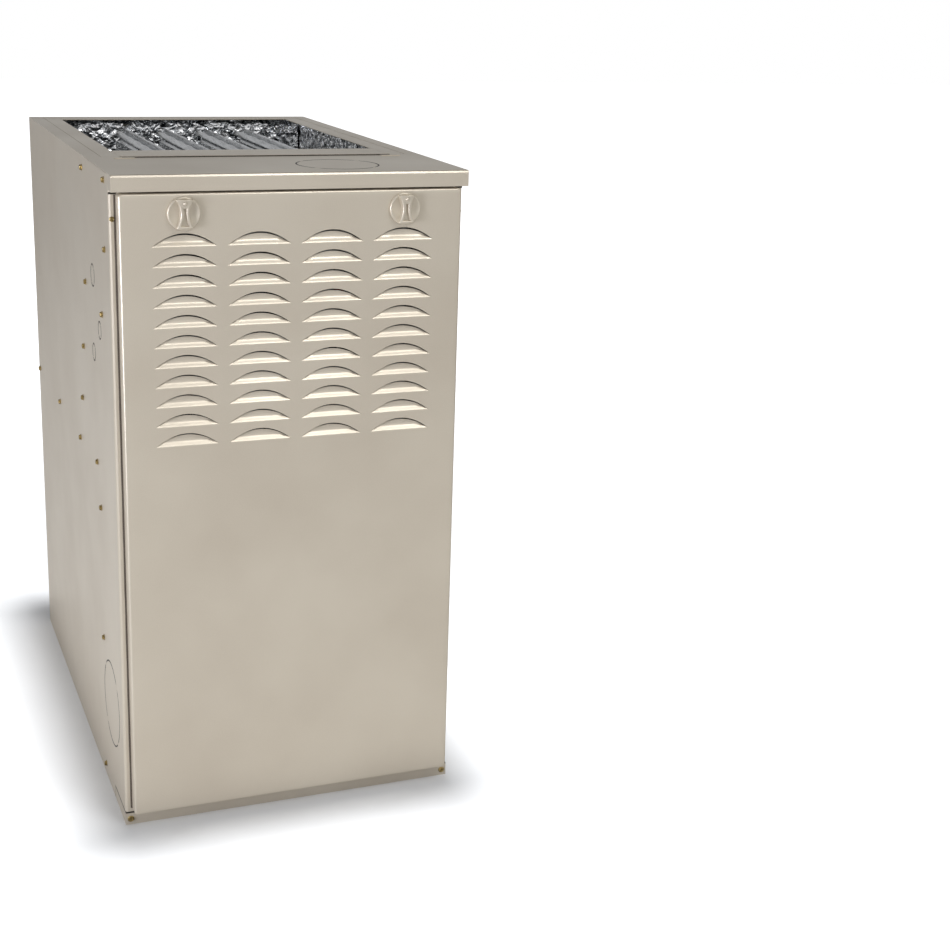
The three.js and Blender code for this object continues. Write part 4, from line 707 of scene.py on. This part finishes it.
s = screwLook
rng = random.Random(5)
for side, label in ((-1, "Left"), (1, "Right")):
    shapes = [screwShape(mm(side * casing["halfWidth"], y, z), (side, 0, 0), rng.uniform(0, 60))
              for y, z in sideScrewPlaces]
    screws = makeShell("sideScrews" + label, merged(shapes), yellowZinc, "cabinet", s["sharp"])
    seat = mm(side * s["flangeRight"], casing["front"], s["flangeHeight"])
    points, faces = screwShape(seat, (0, -1, 0), s["flangeTurn"])
    points = [(p - seat) * s["flangeScale"] + seat for p in points]
    flangeScrew = makeShell("flangeScrew" + label, (points, faces), yellowZinc, "cabinet", s["sharp"])
    seat = mm(side * s["railRight"], casing["front"], s["railHeight"])
    shape = screwShape(seat, (0, -1, 0), s["railTurn"])
    railScrew = makeShell("railScrew" + label, shape, yellowZinc, "cabinet", s["sharp"])
    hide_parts("base_screw_left" if side < 0 else "base_screw_right")
print("screws made")


# lanced outlines of the knockouts, drawn as dark rings of painted shade

lanceLook = {
    "width": 2.0, "thick": 0.1, "sunk": 0.02, "taper": 0.35,
    "bridges": 4, "bridgeDegrees": 7.0, "bridgesFrom": 45, "steps": 64,
}
# name: (centre, direction of the first axis, of the second axis, outward, radius), in millimetres
lanceRings = {
    "ventKnockoutCut": ((75, -293, casing["top"] - lanceLook["sunk"]), (1, 0, 0), (0, 1, 0), (0, 0, 1), 52.0),
}
# (name, depth, height, radius) of the cuts in each side
sideCuts = (
    ("sideKnockoutCut{}", -266, 135, 57.0), ("smallCut{}702", -217, 702, 14.0),
    ("smallCut{}640", -261, 640, 11.0), ("smallCut{}601", -210, 601, 11.0),
)
for name, y, z, radius in sideCuts:
    for side, label in ((-1, "Left"), (1, "Right")):
        wall = side * (casing["halfWidth"] - lanceLook["sunk"])
        lanceRings[name.format(label)] = ((wall, y, z), (0, side, 0), (0, 0, 1), (side, 0, 0), radius)
# painted shade: the dark line stands for the shadow inside a sheared cut
cutShadow = makeGrained("paintedCutShadow", "#4A453E", "#35312C", 1.0, 0.6, {"Metallic": 0.6})


# ring of dark arcs of painted shade, with the bridges that hold the blank in place left between them
def makeLance(name, centre, first, second, out, radius):
    k = lanceLook
    centre, first, second, out = mm(*centre), Vector(first), Vector(second), Vector(out)
    shapes = []
    part = 360 / k["bridges"]
    steps = k["steps"] // k["bridges"]
    for b in range(k["bridges"]):
        start = b * part + k["bridgesFrom"] + k["bridgeDegrees"] / 2
        rings = []
        for i in range(steps + 1):
            a = math.radians(start + (part - k["bridgeDegrees"]) * i / steps)
            spoke = first * math.cos(a) + second * math.sin(a)
            taper = 1.0 if 0 < i < steps else k["taper"]
            inner = centre + spoke * (radius - k["width"] / 2 * taper) / 1000
            outer = centre + spoke * (radius + k["width"] / 2 * taper) / 1000
            lift = out * k["thick"] / 1000
            rings.append([inner, outer, outer + lift, inner + lift])
        shapes.append(loftRings(rings, closeFirst=True))
    lance = makeShell(name, merged(shapes), cutShadow, "cabinet")


for name, (centre, first, second, out, radius) in lanceRings.items():
    makeLance(name, centre, first, second, out, radius)
print("knockout outlines made")


# dark strips of painted shade: the shadow under the lapped edge of the duct strip, and in the relief cuts at the
# casing's corners
shadeStripLook = {
    "proud": 0.12,
    # (share of the run, share of the width)
    "outline": ((0.0, 0.35), (0.01, 0.8), (0.03, 1.0), (0.97, 1.0), (0.99, 0.8), (1.0, 0.35)),
}
# name: list of (corner, run of the seam, its width, outward), in millimetres
shadeStripPlaces = {
    "ductStripSeam": [((-178, -196.2, 846.0), (356, 0, 0), (0, 3.4, 0), (0, 0, 8))],
}
for side, label in ((-1, "Left"), (1, "Right")):
    shadeStripPlaces["reliefCuts" + label] = [
        ((side * 222.2, -350.7, 16.1), (0, 77, 0), (0, 0, 2.2), (side, 0, 0)),
        ((-222.2 if side < 0 else 196.2, -350.7, 16.1), (26, 0, 0), (0, 0, 2.2), (0, -1, 0)),
        ((-222.3 if side < 0 else 212.7, casing["front"], 821.2), (9.6, 0, 0), (0, 0, 2.6), (0, -1, 0)),
    ]


# thin dark strips of painted shade along straight seams, narrower at their ends
def makeShadeStrip(name, places):
    k = shadeStripLook
    shapes = []
    for corner, along, across, out in places:
        corner, along, across, lift = mm(*corner), mm(*along), mm(*across), mm(*out) * k["proud"]
        rings = []
        for share, wide in k["outline"]:
            low = corner + along * share + across * (1 - wide) / 2
            high = low + across * wide
            rings.append([low, high, high + lift, low + lift])
        shapes.append(loftRings(rings, closeFirst=True))
    shadeStrip = makeShell(name, merged(shapes), cutShadow, "cabinet")


for name, places in shadeStripPlaces.items():
    makeShadeStrip(name, places)


# dark strip of painted shade between the door and the casing's front flanges: the shadow in the gap round the door
gapShadeLook = {
    "inner": 211.6, "outer": 216.0, "bottom": 24.0, "top": 820.6, "front": -352.25, "back": -351.02, "steps": 40,
    "wander": 0.12, "waves": 1.7, "edge": (0.35, 0.3),
}
# dull brown-black painted shade
gapShadeMaterial = makeGrained("paintedGapShade", "#5A5046", "#453D35", 0.8, 0.85, {"IOR": 1.45}, 0.15)


# upright strip of painted shade whose outer edge wanders a little
def makeGapShade(side, label):
    k = gapShadeLook
    rings = []
    for i in range(k["steps"] + 1):
        z = k["bottom"] + (k["top"] - k["bottom"]) * i / k["steps"]
        outer = k["outer"] + k["wander"] * math.sin(i * k["waves"])
        section = [
            (k["inner"], k["back"]), (outer, k["back"]), (outer, k["front"] + k["edge"][1]),
            (outer - k["edge"][0], k["front"]), (k["inner"], k["front"]),
        ]
        rings.append([mm(side * x, y, z) for x, y in section])
    gapShade = makeShell("doorGapShade" + label, loftRings(rings, closeFirst=True), gapShadeMaterial, "cabinet")


makeGapShade(-1, "Left")
makeGapShade(1, "Right")


# pressed crowns and seam flanges along the tops of the heat exchanger cells
crownLook = {
    "middles": (-93, -31, 31, 93), "front": -147.5, "back": 284.0, "foot": 827.9, "steps": 44, "sharp": 42,
    "noseLength": 16.0, "noseLeast": 0.03, "noseNarrow": 0.1, "wave": 0.10, "waveLength": 62,
}
# section across a cell: (offset from the middle, height over the foot), in millimetres
crownSection = [
    (-14.6, 0.0), (-13.6, 2.6), (-11.4, 5.0), (-8.6, 5.9), (-5.8, 5.0), (-3.8, 2.4), (-2.4, 0.9), (-0.9, 0.9),
    (-0.9, 9.6), (-0.5, 10.1), (0.5, 10.1), (0.9, 9.6),
    (0.9, 0.9), (2.4, 0.9), (3.8, 2.4), (5.8, 5.0), (8.6, 5.9), (11.4, 5.0), (13.6, 2.6), (14.6, 0.0),
]


# crown of one cell, rounded down at both ends, with shallow stiffening waves in its shoulders
def makeCrown(number, middle):
    k = crownLook
    rings = []
    for i in range(k["steps"] + 1):
        y = k["front"] + (k["back"] - k["front"]) * i / k["steps"]
        near = min(1.0, min(y - k["front"], k["back"] - y) / k["noseLength"])
        grow = math.sqrt(max(0.0, 1 - (1 - near) ** 2)) * (1 - k["noseLeast"]) + k["noseLeast"]
        bead = 1 + k["wave"] * math.sin((y - k["front"]) * 2 * math.pi / k["waveLength"])
        ring = []
        for x, height in crownSection:
            lift = height * grow * (bead if abs(x) > 1 else 1)  # the flange in the middle stays straight
            ring.append(mm(middle + x * (1 - k["noseNarrow"] * (1 - grow)), y, k["foot"] + lift))
        rings.append(ring)
    shape = loftRings(rings, closeFirst=True)
    crown = makeShell(f"cellCrown{number}", shape, aluminised, "cabinet", k["sharp"])


for number, middle in enumerate(crownLook["middles"], 1):
    makeCrown(number, middle)
print("seams, gasket and cell crowns made")


# floor, light and background

stageLook = {
    "floor": "#E6E8EB", "floorBounce": "#B4B3B2", "floorHalf": 14,
    "glowNear": 0.06, "glowFar": 0.95, "nearRadius": 0.7, "farRadius": 3.6,
    "front": 0.92, "behind": 0.62, "zenithShare": 0.22, "ambientTint": "#FBFBFC",
    "frontToBack": (-0.8, 0.8), "lowToHigh": (0.1, 0.8),
}
lampLook = {
    # spares the floor, so that no long shadow falls to the side
    "key": {
        "at": (-2.7, -1.8, 0.62), "aim": (0, -0.2, 0.5), "power": 78, "size": 1.0, "tint": "#EFF2FF",
        "floorLink": "EXCLUDE",
    },
    "frontTop": {
        "at": (0.75, -2.0, 2.5), "aim": (0, -0.2, 0.5), "power": 22, "size": 0.9, "tint": "#FFFFFF",
        "floorLink": "",
    },
    # lights the floor alone
    "floorTop": {
        "at": (0.05, -0.08, 5.0), "aim": (0.1, -0.2, 0), "power": 265, "size": 0.5, "tint": "#FFFFFF",
        "floorLink": "INCLUDE",
    },
}


# plain pale floor that is white to the camera where no shadow falls
def makeFloor():
    s = stageLook
    half = s["floorHalf"]
    mesh = bpy.data.meshes.new("floor")
    mesh.from_pydata([(-half, -half, 0), (half, -half, 0), (half, half, 0), (-half, half, 0)], [], [(0, 1, 2, 3)])
    floor = bpy.data.objects.new("floor", mesh)
    bpy.context.scene.collection.objects.link(floor)
    material = bpy.data.materials.new("paleSweep")
    material.use_nodes = True
    tree = material.node_tree
    tree.nodes.clear()
    diffuse = addNode(tree, "ShaderNodeBsdfDiffuse", {}, {"Color": linear(s["floor"])})
    # white to the camera, a little more so far away where the lamps don't reach; the furnace's shadow stays
    place = addNode(tree, "ShaderNodeTexCoord").outputs["Object"]
    away = addNode(tree, "ShaderNodeVectorMath", {"operation": "LENGTH"}, {0: place})
    strength = addNode(tree, "ShaderNodeMapRange", {}, {
        "Value": away.outputs["Value"], "From Min": s["nearRadius"], "From Max": s["farRadius"],
        "To Min": s["glowNear"], "To Max": s["glowFar"],
    })
    glow = addNode(tree, "ShaderNodeEmission", {}, {"Color": (1, 1, 1, 1), "Strength": strength.outputs["Result"]})
    both = addNode(tree, "ShaderNodeAddShader", {}, {0: diffuse.outputs[0], 1: glow.outputs[0]})
    # the light it throws back on the furnace is that of a greyer floor
    thrown = addNode(tree, "ShaderNodeBsdfDiffuse", {}, {"Color": linear(s["floorBounce"])})
    light = addNode(tree, "ShaderNodeLightPath")
    seen = addNode(tree, "ShaderNodeMixShader", {}, {
        "Fac": light.outputs["Is Camera Ray"], 1: thrown.outputs[0], 2: both.outputs[0],
    })
    addNode(tree, "ShaderNodeOutputMaterial", inputs={"Surface": seen.outputs[0]})
    mesh.materials.append(material)
    return floor


# soft light all round, and a white background to the camera and through clear parts
def makeWorld():
    s = stageLook
    world = bpy.data.worlds.new("studio")
    bpy.context.scene.world = world
    world.use_nodes = True
    tree = world.node_tree
    tree.nodes.clear()
    # soft light that is brighter in front than behind, and weakest overhead
    toward = addNode(tree, "ShaderNodeTexCoord").outputs["Generated"]
    parts = addNode(tree, "ShaderNodeSeparateXYZ", {}, {"Vector": toward})
    around = addNode(tree, "ShaderNodeMapRange", {"interpolation_type": "SMOOTHSTEP"}, {
        "Value": parts.outputs["Y"], "From Min": s["frontToBack"][0], "From Max": s["frontToBack"][1],
        "To Min": s["front"], "To Max": s["behind"],
    })
    lift = addNode(tree, "ShaderNodeMapRange", {"interpolation_type": "SMOOTHSTEP"}, {
        "Value": parts.outputs["Z"], "From Min": s["lowToHigh"][0], "From Max": s["lowToHigh"][1],
        "To Min": 1.0, "To Max": s["zenithShare"],
    })
    level = addNode(tree, "ShaderNodeMath", {"operation": "MULTIPLY"}, {
        0: around.outputs["Result"], 1: lift.outputs["Result"],
    })
    ambient = addNode(tree, "ShaderNodeBackground", {}, {
        "Color": linear(s["ambientTint"]), "Strength": level.outputs[0],
    })
    white = addNode(tree, "ShaderNodeBackground", {}, {"Color": (1, 1, 1, 1), "Strength": 1.0})
    light = addNode(tree, "ShaderNodeLightPath")
    shown = addNode(tree, "ShaderNodeMath", {"operation": "MAXIMUM"}, {
        0: light.outputs["Is Camera Ray"], 1: light.outputs["Is Transmission Ray"],
    })
    mixed = addNode(tree, "ShaderNodeMixShader", {}, {
        "Fac": shown.outputs[0], 1: ambient.outputs[0], 2: white.outputs[0],
    })
    addNode(tree, "ShaderNodeOutputWorld", inputs={"Surface": mixed.outputs[0]})


# square softbox aimed at the furnace; it may spare the floor or light it alone
def makeLamp(name, spec, floor):
    data = bpy.data.lights.new(name, "AREA")
    data.energy = spec["power"]
    data.size = spec["size"]
    data.color = linear(spec["tint"])[:3]
    lamp = bpy.data.objects.new(name, data)
    bpy.context.scene.collection.objects.link(lamp)
    lamp.location = spec["at"]
    lamp.rotation_mode = "QUATERNION"
    lamp.rotation_quaternion = (Vector(spec["aim"]) - Vector(spec["at"])).to_track_quat("-Z", "Y")
    if spec["floorLink"]:
        linked = bpy.data.collections.new(name + "Floor")
        linked.objects.link(floor)
        linked.collection_objects[0].light_linking.link_state = spec["floorLink"]
        lamp.light_linking.receiver_collection = linked


floor = makeFloor()
makeWorld()
for name, spec in lampLook.items():
    makeLamp(name + "Softbox", spec, floor)
bpy.context.scene.view_settings.view_transform = "Standard"
print("stage lit")
